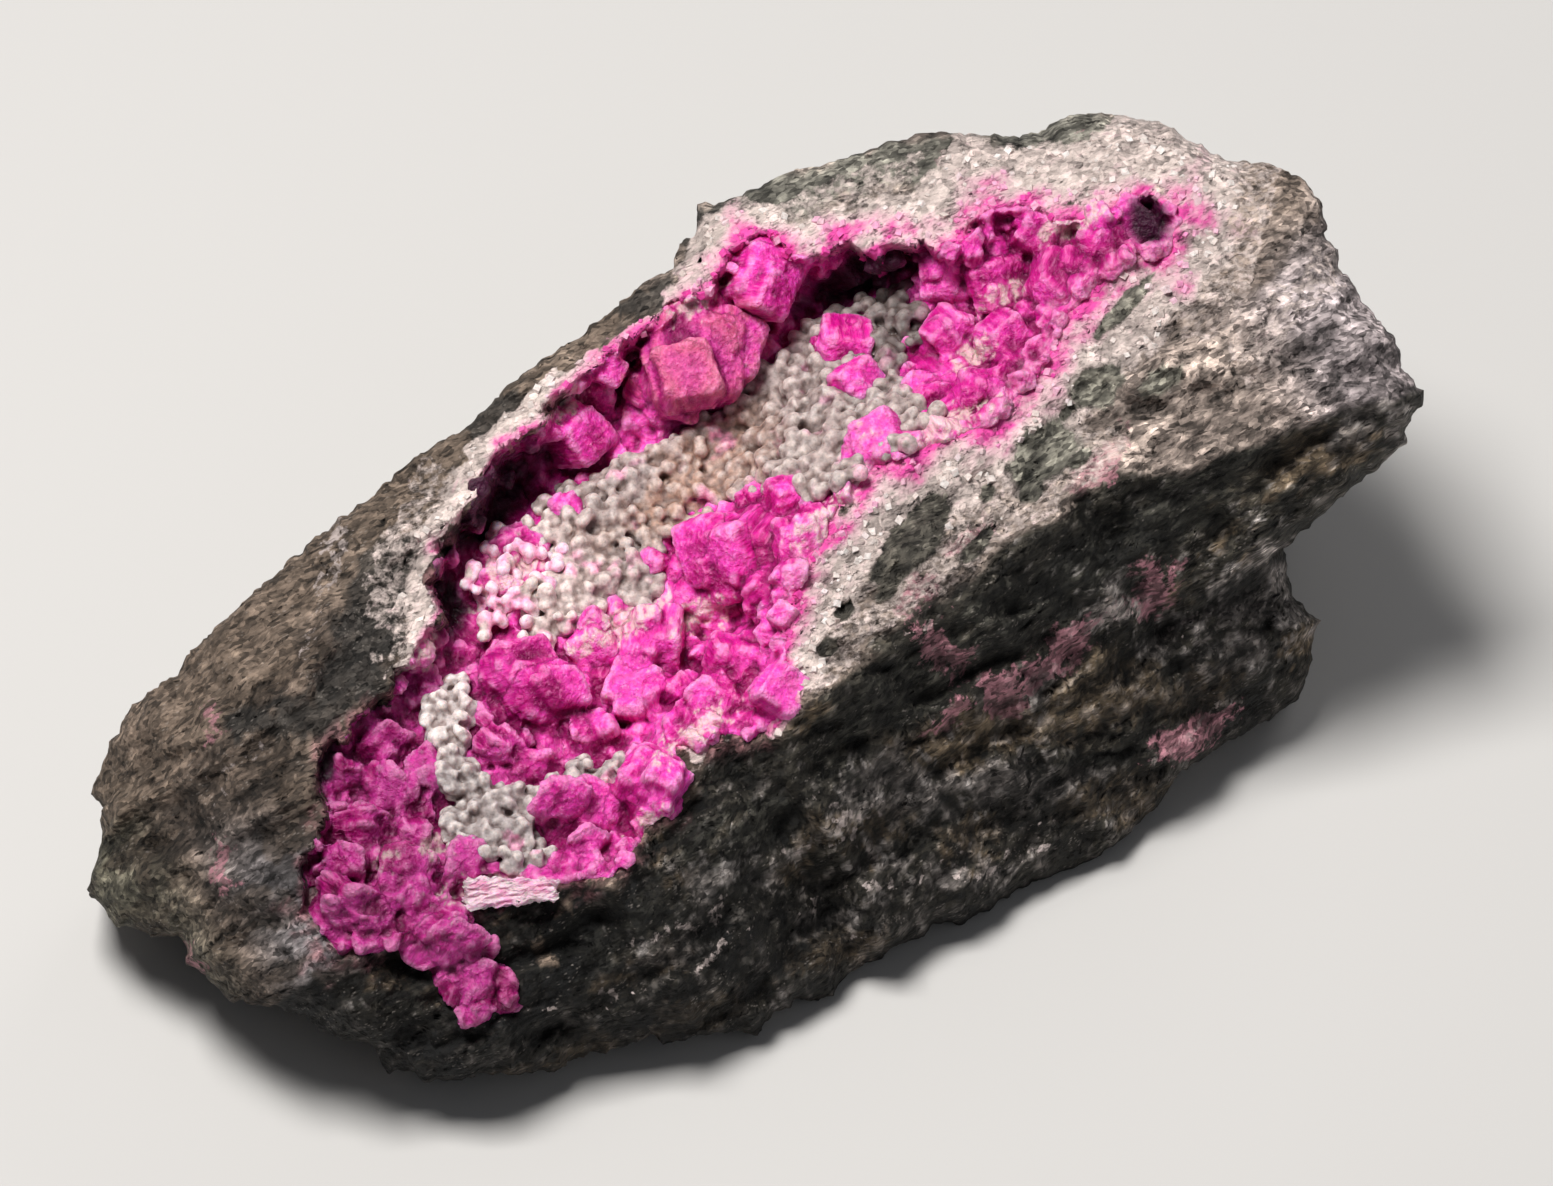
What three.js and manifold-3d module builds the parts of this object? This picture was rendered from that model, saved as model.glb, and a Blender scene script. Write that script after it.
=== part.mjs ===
import * as THREE from 'three';
import Module from 'manifold-3d';

const wasm = await Module();
wasm.setup();

// All sizes are mm. The shape is worked out in the specimen's own show face: a runs along its
// length, b across it and w out of it, and one matrix turns that face into the standing frame.
const FACE_TURN_DEG = 30;
const FACE_LEAN_DEG = 40;
const FACE_AZIMUTH_DEG = -33;
const FACE_ORIGIN = [3.62, 2.5, 20];

// Broken stone
const STEPS_ALONG = 46;
const STEPS_ACROSS = 20;
const LEAST_THICKNESS = 6;
const EDGE_SHARE = 0.4;
const END_ROUNDING = 4;
const LOWER_ROUNDING = 3;
const UPPER_ROUNDING = 6;
const FRONT_SLOPE = 0.82;
const LEDGE_STEP = 6;
const TIP_START = -47;
const TIP_SLOPE = 0.8;
const ROUGHNESS = 0.8;
const BASE_ROUGHNESS = 0.7;

// Hollow
const UPPER_WALL_SLOPE = 3;
const LOWER_WALL_SLOPE = 0.9;
const OPEN_EDGE_DEPTH = 4.2;

// Crust and globules
const GAP = 0.35;
const LINING = 0.45;
const LINING_LUMPS = 1.1;
const GLOBULE_BED = 0.6;
const GLOBULE_RADIUS = 1.65;
const GLOBULE_SPACING = 4;
const FILLER_SPACING = 8;

// Outline of the show face, read as a and b in mm
const LEFT_SIDE = [
  [-50.2, -20], [-50, -17.5], [-51.5, -16], [-53, -14.5], [-53.7, -12.5], [-55, -10.5], [-57, -9],
  [-59, -7.5], [-60.5, -4], [-61, -2.5], [-60.5, 0], [-62.5, 1], [-65, 4], [-65.7, 7.8], [-62, 11],
  [-60.3, 13], [-61, 15],
];
const UPPER_SIDE = [
  [-61, 15], [-57, 18.2], [-52.5, 20.4], [-49, 20.2], [-46, 21.8], [-40, 23.2], [-36, 23.8],
  [-27, 25.4], [-20, 26.6], [-14, 27], [-10, 28.3], [-4, 28.8], [5, 30.1], [8, 30.2], [11.5, 32],
  [13, 33.6], [15, 32.8], [22, 32.2], [26, 31], [35, 29], [38, 27], [43, 24.3], [47, 24], [50, 22],
  [53.5, 19.5], [55.7, 15.3], [59, 11.5], [61.3, 9.2],
];
const RIGHT_SIDE = [
  [38, -32.4], [40.5, -30.5], [43.2, -27.3], [42.3, -24], [43.7, -20], [50, -18.5], [57.5, -17],
  [59, -15.4], [60.7, -14.5], [61, -12.3], [61.2, -8.3], [60.4, -0.3], [61.2, 1.3], [60.9, 3],
  [62, 5.7], [61.3, 9.2],
];
const LOWER_SIDE = [
  [-50.2, -20], [-48.2, -20.8], [-47.8, -22.3], [-45.5, -23.7], [-39.5, -26.2], [-36.8, -27.6],
  [-34.7, -27.4], [-31.5, -28.6], [-28, -29], [-27.3, -30.2], [-21.8, -32.1], [-20, -33.8],
  [-17.8, -33], [-15.5, -33], [-12.5, -34.4], [-10.5, -33.5], [-0.5, -33.6], [1.2, -34.6],
  [8.5, -34.6], [10.5, -35.3], [18.5, -35.3], [23, -33.8], [25, -32.9], [34.5, -32.7], [38, -32.4],
];

// Ridge where the upper face turns over into the steep front face
const RIDGE = [
  [-62, -9], [-50, -9.5], [-45, -10.2], [-40, -11], [-35, -11], [-30, -12.5], [-27, -13.5],
  [-24, -15.5], [-20, -13.5], [-15, -12.5], [-9, -9], [-5, -11.5], [-1.5, -9.5], [5, -9.2],
  [10, -8.2], [20, -6.8], [27, -6.8], [30, -5.6], [36, -7.6], [46, -9.6], [55, -11], [61, -13.3],
];

// Rim of the hollow
const UPPER_RIM = [
  [-49, -3.5], [-47.5, 0], [-44.8, 1.5], [-43, 3], [-42.2, 6], [-41, 8], [-36.5, 9.2], [-33, 9],
  [-31, 10.5], [-28, 12], [-25.5, 13], [-25, 16], [-23, 17.8], [-20, 19.2], [-18, 21], [-13.5, 23.5],
  [-10, 23.5], [-6, 25], [3, 26.5], [8, 27], [9.5, 26], [13, 28], [16.5, 28.5], [17.5, 26], [20, 24],
  [23, 24], [24, 22], [28.8, 20.5], [29.3, 18.8], [36, 20.3], [38.5, 19], [40.5, 16.5], [43, 15],
  [48.5, 14.5], [50, 11.5],
];
const LOWER_RIM = [
  [-49, -9], [-45, -10.2], [-37, -11], [-34.8, -10.5], [-30, -12.2], [-24, -15], [-20, -13.4],
  [-15, -11], [-13, -8], [-9, -9], [-6.5, -10.5], [-2, -9.5], [0, -4.5], [2, -2], [4.5, 0], [8, 2.5],
  [15, 5], [17, 4.5], [24, 3.5], [28, 3.8], [33, 5.5], [36.5, 8], [42, 9.5], [45, 10], [47.5, 8.2],
  [50, 10.5],
];
const TAIL = [[-35.5, -10], [-36.4, -12.5], [-36, -18], [-36.6, -21.2], [-41.6, -20], [-42.8, -12]];
const FLOOR_DEPTH = [
  [-50, 4], [-40, 5.5], [-25, 7.5], [-10, 10], [5, 11.5], [18, 10.5], [28, 8], [40, 5.5], [48, 4.5],
];

// Caves under the upper lip: centre, half length, half width, extra depth
const CAVES = [
  [-15.5, 19, 8, 2.6, 4], [23.5, 20, 6, 2.2, 3], [47.5, 12, 2.6, 2, 2], [-24, 12.5, 2.2, 3, 2],
];

// Larger crystals: a, b, width across, lean of the axis in degrees, the way it leans, spin
const CRYSTALS = [
  [5.5, 22, 11, 38, 250, 20], [8.5, 24, 7, 20, 40, 70], [2, 20.5, 6.5, 55, 210, 10],
  [-7, 21.2, 6, 60, 260, 15], [-3.3, 23.8, 4, 30, 150, 0], [-1.5, 19.5, 3.6, 40, 300, 40],
  [14.5, 25, 7.5, 62, 280, 25], [11.5, 23.5, 5, 45, 230, 60], [22, 22.6, 5, 55, 265, 5],
  [18, 16, 6, 30, 120, 30], [17.5, 12.6, 5, 58, 265, 20], [16.5, 7, 6, 35, 320, 45],
  [6.5, 6.8, 4, 30, 200, 80], [5.5, 3, 5, 40, 120, 50], [0, 4.5, 9, 28, 70, 15],
  [-3.5, 2.5, 6, 40, 180, 35], [-7, 8, 3.4, 40, 90, 5], [-11, 15.5, 3.8, 50, 310, 65],
  [-17, 15, 4.4, 35, 250, 20], [-20, 13, 4, 45, 200, 75], [-22, 2.5, 8.5, 34, 230, 30],
  [-15, 4.2, 5, 30, 60, 55], [-10, 1.5, 6.5, 42, 140, 10], [-14, -1.5, 6, 28, 280, 40],
  [-26.5, 0, 5, 50, 190, 25], [-25, -3, 4.5, 35, 270, 60], [-19, -3, 4.6, 44, 330, 15],
  [-24, -9, 8.5, 36, 255, 35], [-17, -9.5, 7, 30, 300, 5], [-5, -4, 6.5, 40, 100, 50],
  [-2.5, -8, 5.5, 50, 270, 30], [-8, -6, 5, 34, 220, 70], [-33.5, 1.5, 4.8, 36, 340, 20],
  [-37.5, 2, 5.4, 44, 160, 45], [-41, 0, 5.4, 38, 240, 0], [-44, -1.8, 4.6, 50, 200, 65],
  [-40, -6.5, 6.5, 32, 290, 35], [-45, -6, 6.5, 46, 225, 15], [-37.5, -2.5, 4, 30, 100, 55],
  [-34.5, -7.5, 5, 42, 310, 25], [-35.5, 5.5, 5.2, 48, 260, 40], [-40, 5, 4.4, 55, 210, 10],
  [-39, -12.5, 5.5, 40, 260, 30], [-39.2, -17, 5.2, 48, 275, 60], [-30, 9, 4, 45, 240, 20],
  [27, 12, 5.5, 38, 190, 15], [31, 9.5, 5, 30, 150, 50], [33, 14, 5.6, 44, 230, 30],
  [29, 16.5, 5, 36, 280, 70], [37.5, 12, 5.4, 32, 120, 5], [38, 16, 4.8, 48, 260, 45],
  [26, 6.5, 4.6, 40, 110, 35], [42.5, 12.5, 4.2, 36, 200, 20], [46.5, 12, 3.6, 50, 240, 55],
];

// Patches of pale globules
const UPPER_PATCH = [
  [-13, 17.5], [-4, 17.3], [2, 16.8], [8, 18], [12, 18.5], [19, 19.5], [25.5, 18.5], [26, 15],
  [24, 12.5], [21, 12], [22, 8], [24, 6], [20, 5.6], [14, 5.8], [9, 5], [8, 7.5], [2, 9.5],
  [-5, 8.8], [-6, 6.2], [-9, 4.6], [-12, 6.2], [-19, 5.8], [-20.5, 8], [-18, 11], [-15, 12],
];
const LOWER_PATCH = [
  [-31.5, 7.2], [-26.5, 7.8], [-27, 5], [-29, 3], [-29.5, 0], [-28.8, -3], [-27, -4], [-22, -4.6],
  [-17, -6], [-17.5, -8], [-22, -7], [-27, -7.5], [-28, -10], [-30, -11.2], [-32, -8], [-35, -5.4],
  [-35, -3.4], [-33, -2], [-32.5, 2],
];

const radians = THREE.MathUtils.degToRad;
const FACE_TO_ROW = new THREE.Matrix4()
  .makeTranslation(...FACE_ORIGIN)
  .multiply(new THREE.Matrix4().makeRotationZ(radians(FACE_AZIMUTH_DEG)))
  .multiply(new THREE.Matrix4().makeRotationX(radians(FACE_LEAN_DEG)))
  .multiply(new THREE.Matrix4().makeRotationZ(radians(FACE_TURN_DEG)));

function softMin(x, y, round) {
  return (x + y - Math.hypot(x - y, round)) / 2;
}

function softMax(x, y, round) {
  return (x + y + Math.hypot(x - y, round)) / 2;
}

function smooth(from, to, x) {
  const t = Math.min(1, Math.max(0, (x - from) / (to - from)));
  return t * t * (3 - 2 * t);
}

// Repeatable scatter value between 0 and 1
function scatter(seed) {
  const value = Math.sin(seed * 12.9898) * 43758.5453;
  return value - Math.floor(value);
}

// Height of a line of points over the place x
function heightOver(points, x) {
  if (x <= points[0][0]) {
    return points[0][1];
  }
  for (let i = 1; i < points.length; i += 1) {
    if (x <= points[i][0]) {
      const share = (x - points[i - 1][0]) / (points[i][0] - points[i - 1][0]);
      return points[i - 1][1] + share * (points[i][1] - points[i - 1][1]);
    }
  }
  return points[points.length - 1][1];
}

// Evenly spaced points along a line of points
function evenPoints(points, count) {
  const lengths = [0];
  for (let i = 1; i < points.length; i += 1) {
    const step = Math.hypot(points[i][0] - points[i - 1][0], points[i][1] - points[i - 1][1]);
    lengths.push(lengths[i - 1] + step);
  }
  const total = lengths[lengths.length - 1];
  const even = [];
  for (let k = 0; k <= count; k += 1) {
    const place = (total * k) / count;
    even.push([
      heightOver(lengths.map((length, i) => [length, points[i][0]]), place),
      heightOver(lengths.map((length, i) => [length, points[i][1]]), place),
    ]);
  }
  return even;
}

// Broken relief drawn out along the length, from waves bent by slower waves
function brokenRelief(a, b) {
  const p = a + 3 * Math.sin(b * 0.17 + 1);
  const q = b + 2.2 * Math.sin(a * 0.13 + b * 0.09);
  const plates = Math.abs(Math.sin(0.11 * p + 0.36 * q + 0.4)) - 0.6;
  const lumps = Math.sin(0.33 * p - 0.21 * q + 2) * Math.sin(0.14 * p + 0.62 * q);
  const grain = Math.sin(0.55 * p + 1.1 * q) * Math.sin(0.9 * p - 0.5 * q + 1.2);
  return 1.1 * plates + 0.9 * lumps + 0.6 * grain;
}

function hollowDepth(a, b) {
  const fromUpper = heightOver(UPPER_RIM, a) - b;
  const fromLower = b - heightOver(LOWER_RIM, a);
  const open = smooth(0, -7, a);
  if (fromUpper <= 0) {
    return 0;
  }
  if (fromLower <= 0) {
    return OPEN_EDGE_DEPTH * open * smooth(-12, 0, fromLower) * smooth(-50, -44, a);
  }
  const upperWall = UPPER_WALL_SLOPE * fromUpper;
  const lowerWall = OPEN_EDGE_DEPTH * open + LOWER_WALL_SLOPE * fromLower;
  const endWall = Math.min(2.2 * (a + 50), 1.6 * (51 - a));
  let floor = heightOver(FLOOR_DEPTH, a);
  for (const [caveA, caveB, halfA, halfB, extra] of CAVES) {
    floor += extra * Math.exp(-(((a - caveA) / halfA) ** 2) - ((b - caveB) / halfB) ** 2);
  }
  const walls = softMin(upperWall, lowerWall, 1.5);
  return Math.max(0, softMin(walls, softMin(floor, endWall, 1.5), 1.5));
}

function frontSurface(a, b) {
  const ridge = heightOver(RIDGE, a);
  const below = softMax(0, ridge - b, 1.5);
  const over = Math.max(b, ridge);
  const upperFace = 18.8 - 0.18 * a - 0.37 * over - TIP_SLOPE * softMax(0, TIP_START - a, 3);
  const ledgeStep = LEDGE_STEP * smooth(28, 42, a) * smooth(-17.5, -21, b);
  return upperFace - FRONT_SLOPE * below - ledgeStep - hollowDepth(a, b);
}

function hiddenSurface(a, b) {
  const ground = -26.5 - 0.42 * a - 0.727 * b + BASE_ROUGHNESS * brokenRelief(b * 0.8, a * 0.7);
  const back = -37.1 - 0.28 * a + 1.54 * b + 2 * brokenRelief(a + 20, b * 0.5);
  const heel = -26 - 0.37 * a + 0.055 * b + brokenRelief(a + 40, b);
  const end = (0.935 * a - 0.058 * b - 57) / 0.35;
  return softMax(softMax(softMax(ground, back, 4), heel, 4), end, 3);
}

// Share of the full thickness reached at a place given by its distances from both edges
function fullness(distance, rounding) {
  const left = 1 - Math.min(1, distance / rounding);
  return Math.sqrt(1 - left * left);
}

// The show face as a grid spread inside the outline, with the front and hidden depth at each point
function faceGrid() {
  const lower = evenPoints(LOWER_SIDE, STEPS_ALONG);
  const upper = evenPoints(UPPER_SIDE, STEPS_ALONG);
  const left = evenPoints(LEFT_SIDE, STEPS_ACROSS);
  const right = evenPoints(RIGHT_SIDE, STEPS_ACROSS);
  const grid = [];
  for (let i = 0; i <= STEPS_ALONG; i += 1) {
    const s = i / STEPS_ALONG;
    const row = [];
    for (let j = 0; j <= STEPS_ACROSS; j += 1) {
      const t = j / STEPS_ACROSS;
      const at = (k) =>
        (1 - t) * lower[i][k] + t * upper[i][k] + (1 - s) * left[j][k] + s * right[j][k]
        - (1 - s) * (1 - t) * lower[0][k] - s * (1 - t) * lower[STEPS_ALONG][k]
        - (1 - s) * t * upper[0][k] - s * t * upper[STEPS_ALONG][k];
      const a = at(0);
      const b = at(1);
      const height = upper[i][1] - lower[i][1];
      const full = fullness(Math.min(s, 1 - s) * 118, END_ROUNDING)
        * fullness(t * height, LOWER_ROUNDING) * fullness((1 - t) * height, UPPER_ROUNDING);
      const surface = frontSurface(a, b);
      const thickness = softMax(surface - hiddenSurface(a, b), LEAST_THICKNESS, 3);
      const edge = surface - EDGE_SHARE * thickness;
      const rough = ROUGHNESS * brokenRelief(a, b) * (hollowDepth(a, b) > 0.5 ? 0.5 : 1);
      row.push({
        a,
        b,
        front: edge + full * (EDGE_SHARE * thickness + rough),
        hidden: edge - full * (1 - EDGE_SHARE) * thickness,
        full,
      });
    }
    grid.push(row);
  }
  return grid;
}

const GRID = faceGrid();

// Outward direction of the front sheet at a grid point
function sheetNormal(i, j) {
  const point = (m, n) => {
    const p = GRID[Math.min(STEPS_ALONG, Math.max(0, m))][Math.min(STEPS_ACROSS, Math.max(0, n))];
    return new THREE.Vector3(p.a, p.b, p.front);
  };
  const along = point(i + 1, j).sub(point(i - 1, j));
  const across = point(i, j + 1).sub(point(i, j - 1));
  return along.cross(across).normalize();
}

// Solid whose corners are shared wherever they meet, turned into the standing frame
function solidOf(geometry) {
  const source = geometry.index ? geometry.toNonIndexed() : geometry;
  const position = source.attributes.position;
  const places = new Map();
  const corners = [];
  const triangles = [];
  const point = new THREE.Vector3();
  for (let i = 0; i < position.count; i += 1) {
    point.fromBufferAttribute(position, i).applyMatrix4(FACE_TO_ROW);
    const key = [point.x, point.y, point.z].map((value) => Math.round(value * 1e4)).join(' ');
    if (!places.has(key)) {
      places.set(key, corners.length / 3);
      corners.push(point.x, point.y, point.z);
    }
    triangles.push(places.get(key));
  }
  const mesh = new wasm.Mesh({
    numProp: 3,
    vertProperties: new Float32Array(corners),
    triVerts: new Uint32Array(triangles),
  });
  return new wasm.Manifold(mesh);
}

// Closed body between the hidden sheet and the front sheet raised by the given amounts
function reliefBody(raise, hiddenLift) {
  const corners = [];
  const indexOf = (i, j, hidden) => {
    const onEdge = i === 0 || j === 0 || i === STEPS_ALONG || j === STEPS_ACROSS;
    const sheet = hidden && !onEdge ? 1 : 0;
    return (sheet * (STEPS_ALONG + 1) + i) * (STEPS_ACROSS + 1) + j;
  };
  for (const hidden of [false, true]) {
    for (let i = 0; i <= STEPS_ALONG; i += 1) {
      for (let j = 0; j <= STEPS_ACROSS; j += 1) {
        const p = GRID[i][j];
        const place = new THREE.Vector3(p.a, p.b, hidden ? p.hidden + hiddenLift * p.full : p.front);
        if (!hidden && p.full > 0) {
          const [outward, upward] = raise(p.a, p.b);
          place.addScaledVector(sheetNormal(i, j), outward);
          place.z += upward;
        }
        corners.push(place.x, place.y, place.z);
      }
    }
  }
  const triangles = [];
  for (let i = 0; i < STEPS_ALONG; i += 1) {
    for (let j = 0; j < STEPS_ACROSS; j += 1) {
      const p = indexOf(i, j, false);
      const q = indexOf(i + 1, j, false);
      const r = indexOf(i + 1, j + 1, false);
      const s = indexOf(i, j + 1, false);
      triangles.push(...((i + j) % 2 ? [p, q, r, p, r, s] : [p, q, s, q, r, s]));
    }
  }
  // The hidden sheet has cells of double size that take in every point of the outline
  for (let i = 0; i < STEPS_ALONG; i += 2) {
    for (let j = 0; j < STEPS_ACROSS; j += 2) {
      const loop = [[0, 0], [1, 0], [2, 0], [2, 1], [2, 2], [1, 2], [0, 2], [0, 1]]
        .filter(([m, n]) => {
          const onEdge = i + m === 0 || j + n === 0 || i + m === STEPS_ALONG || j + n === STEPS_ACROSS;
          return (m !== 1 && n !== 1) || onEdge;
        });
      const hub = [i + 2 === STEPS_ALONG ? 0 : 2, j + 2 === STEPS_ACROSS ? 0 : 2];
      const start = loop.findIndex(([m, n]) => m === hub[0] && n === hub[1]);
      const round = [...loop.slice(start), ...loop.slice(0, start)]
        .map(([m, n]) => indexOf(i + m, j + n, true));
      for (let k = 1; k + 1 < round.length; k += 1) {
        triangles.push(round[0], round[k + 1], round[k]);
      }
    }
  }
  const geometry = new THREE.BufferGeometry();
  geometry.setAttribute('position', new THREE.Float32BufferAttribute(corners, 3));
  geometry.setIndex(triangles);
  return solidOf(geometry);
}

// Column standing on a closed line of points, right through the stone
function columnOver(points, skip = 1) {
  const kept = points.filter((_, i) => i % skip === 0);
  const shape = new THREE.Shape(kept.map(([a, b]) => new THREE.Vector2(a, b)));
  const geometry = new THREE.ExtrudeGeometry(shape, { depth: 120, bevelEnabled: false });
  geometry.translate(0, 0, -60);
  return solidOf(geometry);
}

function inside(points, a, b) {
  let within = false;
  for (let i = 0, j = points.length - 1; i < points.length; j = i, i += 1) {
    const [ai, bi] = points[i];
    const [aj, bj] = points[j];
    if (bi > b !== bj > b && a < ((aj - ai) * (b - bi)) / (bj - bi) + ai) {
      within = !within;
    }
  }
  return within;
}

const CRUST_OUTLINE = [
  ...UPPER_RIM,
  ...LOWER_RIM.slice(3).reverse(),
  ...TAIL,
  [-45, -10.2],
  [-48.6, -8.6],
];

function liningLumps(a, b) {
  const wave = Math.sin(1.1 * a + 0.4 * b) * Math.sin(0.5 * a - 1.3 * b + 1);
  const bare = inside(UPPER_PATCH, a, b) || inside(LOWER_PATCH, a, b);
  return bare ? 0.3 : LINING_LUMPS * (0.75 + 0.4 * wave);
}

// Calcite rhombohedron: a cube standing on its corner, pressed a little along its axis
function crystalBody(a, b, width, leanDeg, towardDeg, spinDeg, growth) {
  const edge = 0.76 * width;
  const geometry = new THREE.BoxGeometry(edge, edge, edge);
  geometry.rotateZ(Math.PI / 4);
  geometry.rotateX(Math.atan(Math.SQRT2));
  geometry.scale(1, 1, 0.74);
  const swell = (edge + 2 * growth) / edge;
  geometry.scale(swell, swell, swell);
  geometry.rotateZ(radians(spinDeg));
  geometry.rotateX(radians(leanDeg));
  geometry.rotateZ(radians(towardDeg + 90));
  const wall = Math.min(frontSurface(a, b), frontSurface(a, b - width * 0.2) + 1);
  geometry.translate(a, b, wall + GAP + LINING + 0.08 * width);
  return solidOf(geometry);
}

function fillerCrystals() {
  const places = [];
  for (let a = -47; a < 49; a += FILLER_SPACING) {
    for (let b = -13; b < 27; b += FILLER_SPACING) {
      const seed = a * 7.3 + b * 3.1;
      const at = a + 2.4 * (scatter(seed) - 0.5);
      const across = b + 2.4 * (scatter(seed + 5) - 0.5);
      const width = 3.2 + 1.6 * scatter(seed + 9);
      const bare = inside(UPPER_PATCH, at, across) || inside(LOWER_PATCH, at, across);
      const crowded = CRYSTALS.some(([ca, cb, cw]) => Math.hypot(ca - at, cb - across) < cw * 0.42);
      const clear = inside(CRUST_OUTLINE, at, across) && inside(CRUST_OUTLINE, at, across + 1.6);
      if (clear && !bare && !crowded) {
        const lean = 25 + 35 * scatter(seed + 2);
        places.push([at, across, width, lean, 360 * scatter(seed + 3), 90 * scatter(seed)]);
      }
    }
  }
  return places;
}

const ALL_CRYSTALS = [...CRYSTALS, ...fillerCrystals()];

function globuleBodies(patch) {
  const bodies = [];
  const rise = GLOBULE_SPACING * Math.sqrt(3) / 2;
  for (let row = 0; row * rise < 34; row += 1) {
    for (let a = -36; a < 28; a += GLOBULE_SPACING) {
      const seed = row * 17.7 + a * 2.3;
      const at = a + (row % 2) * GLOBULE_SPACING * 0.5 + 0.7 * (scatter(seed) - 0.5);
      const across = -12 + row * rise + 0.7 * (scatter(seed + 4) - 0.5);
      if (inside(patch, at, across)) {
        const radius = GLOBULE_RADIUS * (0.85 + 0.35 * scatter(seed + 6));
        const geometry = new THREE.IcosahedronGeometry(radius, 0);
        geometry.rotateX(6 * scatter(seed + 1));
        geometry.rotateZ(6 * scatter(seed + 2));
        const lift = 2 * GAP + LINING + 0.3 + GLOBULE_BED + 0.25 * radius;
        geometry.translate(at, across, frontSurface(at, across) + lift);
        bodies.push(solidOf(geometry));
      }
    }
  }
  return bodies;
}

function largestBody(solid) {
  return solid.decompose().sort((p, q) => q.volume() - p.volume())[0];
}

const stoneBody = reliefBody(() => [0, 0], 0);

// Everything under the standing plane, so that the stone rests on true flats
const underground = new THREE.BoxGeometry(200, 200, 60)
  .translate(0, 0, -30)
  .applyMatrix4(FACE_TO_ROW.clone().invert());
const stone = largestBody(stoneBody.subtract(solidOf(underground)));
const stoneClearance = reliefBody(() => [0.6 * GAP, 0.8 * GAP], 0);

const crystalSolids = ALL_CRYSTALS.map((row) => crystalBody(...row, 0));
const lining = reliefBody((a, b) => [0.6 * GAP + LINING, 0.8 * GAP + liningLumps(a, b)], 2)
  .intersect(columnOver(CRUST_OUTLINE, 2));
const crust = largestBody(wasm.Manifold.union([lining, ...crystalSolids]).subtract(stoneClearance));

const liningClearance = reliefBody((a, b) => [1.2 * GAP + LINING, 1.6 * GAP + liningLumps(a, b)], 2);
const crystalClearance = ALL_CRYSTALS.map((row) => crystalBody(...row, GAP));
const crustClearance = wasm.Manifold.union([liningClearance, ...crystalClearance]);

function globuleCrust(patch) {
  const raise = (a, b) => [1.2 * GAP + LINING, 1.6 * GAP + liningLumps(a, b) + GLOBULE_BED];
  const bed = reliefBody(raise, 3).intersect(columnOver(patch));
  return largestBody(wasm.Manifold.union([bed, ...globuleBodies(patch)]).subtract(crustClearance));
}

function namedMesh(name, solid, colour, roughness) {
  const { vertProperties, triVerts } = solid.getMesh();
  const geometry = new THREE.BufferGeometry();
  geometry.setAttribute('position', new THREE.Float32BufferAttribute(vertProperties, 3));
  geometry.setIndex(new THREE.Uint32BufferAttribute(triVerts, 1));
  geometry.computeVertexNormals();
  const material = new THREE.MeshStandardMaterial({ color: colour, roughness, metalness: 0 });
  const mesh = new THREE.Mesh(geometry, material);
  mesh.name = name;
  return mesh;
}

const specimen = new THREE.Group();
specimen.name = 'cobaltoan_calcite_specimen';
specimen.add(namedMesh('host_rock', stone, 0x5f5953, 0.95));
specimen.add(namedMesh('pink_calcite_crust', crust, 0xd4238f, 0.4));
specimen.add(namedMesh('upper_globules', globuleCrust(UPPER_PATCH), 0xcbc5bb, 0.55));
specimen.add(namedMesh('lower_globules', globuleCrust(LOWER_PATCH), 0xd2cdc4, 0.55));

export default specimen;
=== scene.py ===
import bpy
import numpy as np
from mathutils import Matrix, Vector


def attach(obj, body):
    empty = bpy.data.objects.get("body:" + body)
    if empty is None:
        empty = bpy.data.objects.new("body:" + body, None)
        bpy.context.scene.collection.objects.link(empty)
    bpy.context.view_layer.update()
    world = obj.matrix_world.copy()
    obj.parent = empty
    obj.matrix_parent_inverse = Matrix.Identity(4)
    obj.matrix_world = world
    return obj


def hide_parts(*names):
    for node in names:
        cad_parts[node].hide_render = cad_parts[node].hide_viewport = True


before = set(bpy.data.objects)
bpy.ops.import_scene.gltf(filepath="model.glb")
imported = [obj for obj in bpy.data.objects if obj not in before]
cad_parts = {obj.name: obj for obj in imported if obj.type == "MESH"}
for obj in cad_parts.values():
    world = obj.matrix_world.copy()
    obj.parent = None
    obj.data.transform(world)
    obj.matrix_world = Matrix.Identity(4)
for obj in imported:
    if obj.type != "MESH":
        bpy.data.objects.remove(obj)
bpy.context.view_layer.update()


# The host rock. One block of dark fine-grained stone, broken out of a vein, with pale calcite bands
# round its hollow. It is worked out in its own show face in mm: a along the length, b across, w out.

FACE_TURN, FACE_LEAN, FACE_AZIMUTH = np.radians([30.0, 40.0, -33.0])
FACE_ORIGIN = np.array([3.62, 2.5, 20.0])
STONE_STEPS = (400, 180)
STONE_DRAW = 2.1
LEAST_THICKNESS = 6.0
SHEET_GAP = 1.6
FAR_BLUR = 7
EDGE_SHARE = 0.4
FACE_LENGTH = 118.0
END_ROUNDING = 4.0
LOWER_ROUNDING = 3.0
UPPER_ROUNDING = 6.0
FRONT_SLOPE = 0.82
LEDGE_STEP = 6.0
TIP_START = -47.0
TIP_SLOPE = 0.8
UPPER_WALL_SLOPE = 5.5
LOWER_WALL_SLOPE = 0.9
OPEN_EDGE_DEPTH = 4.2

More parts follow.
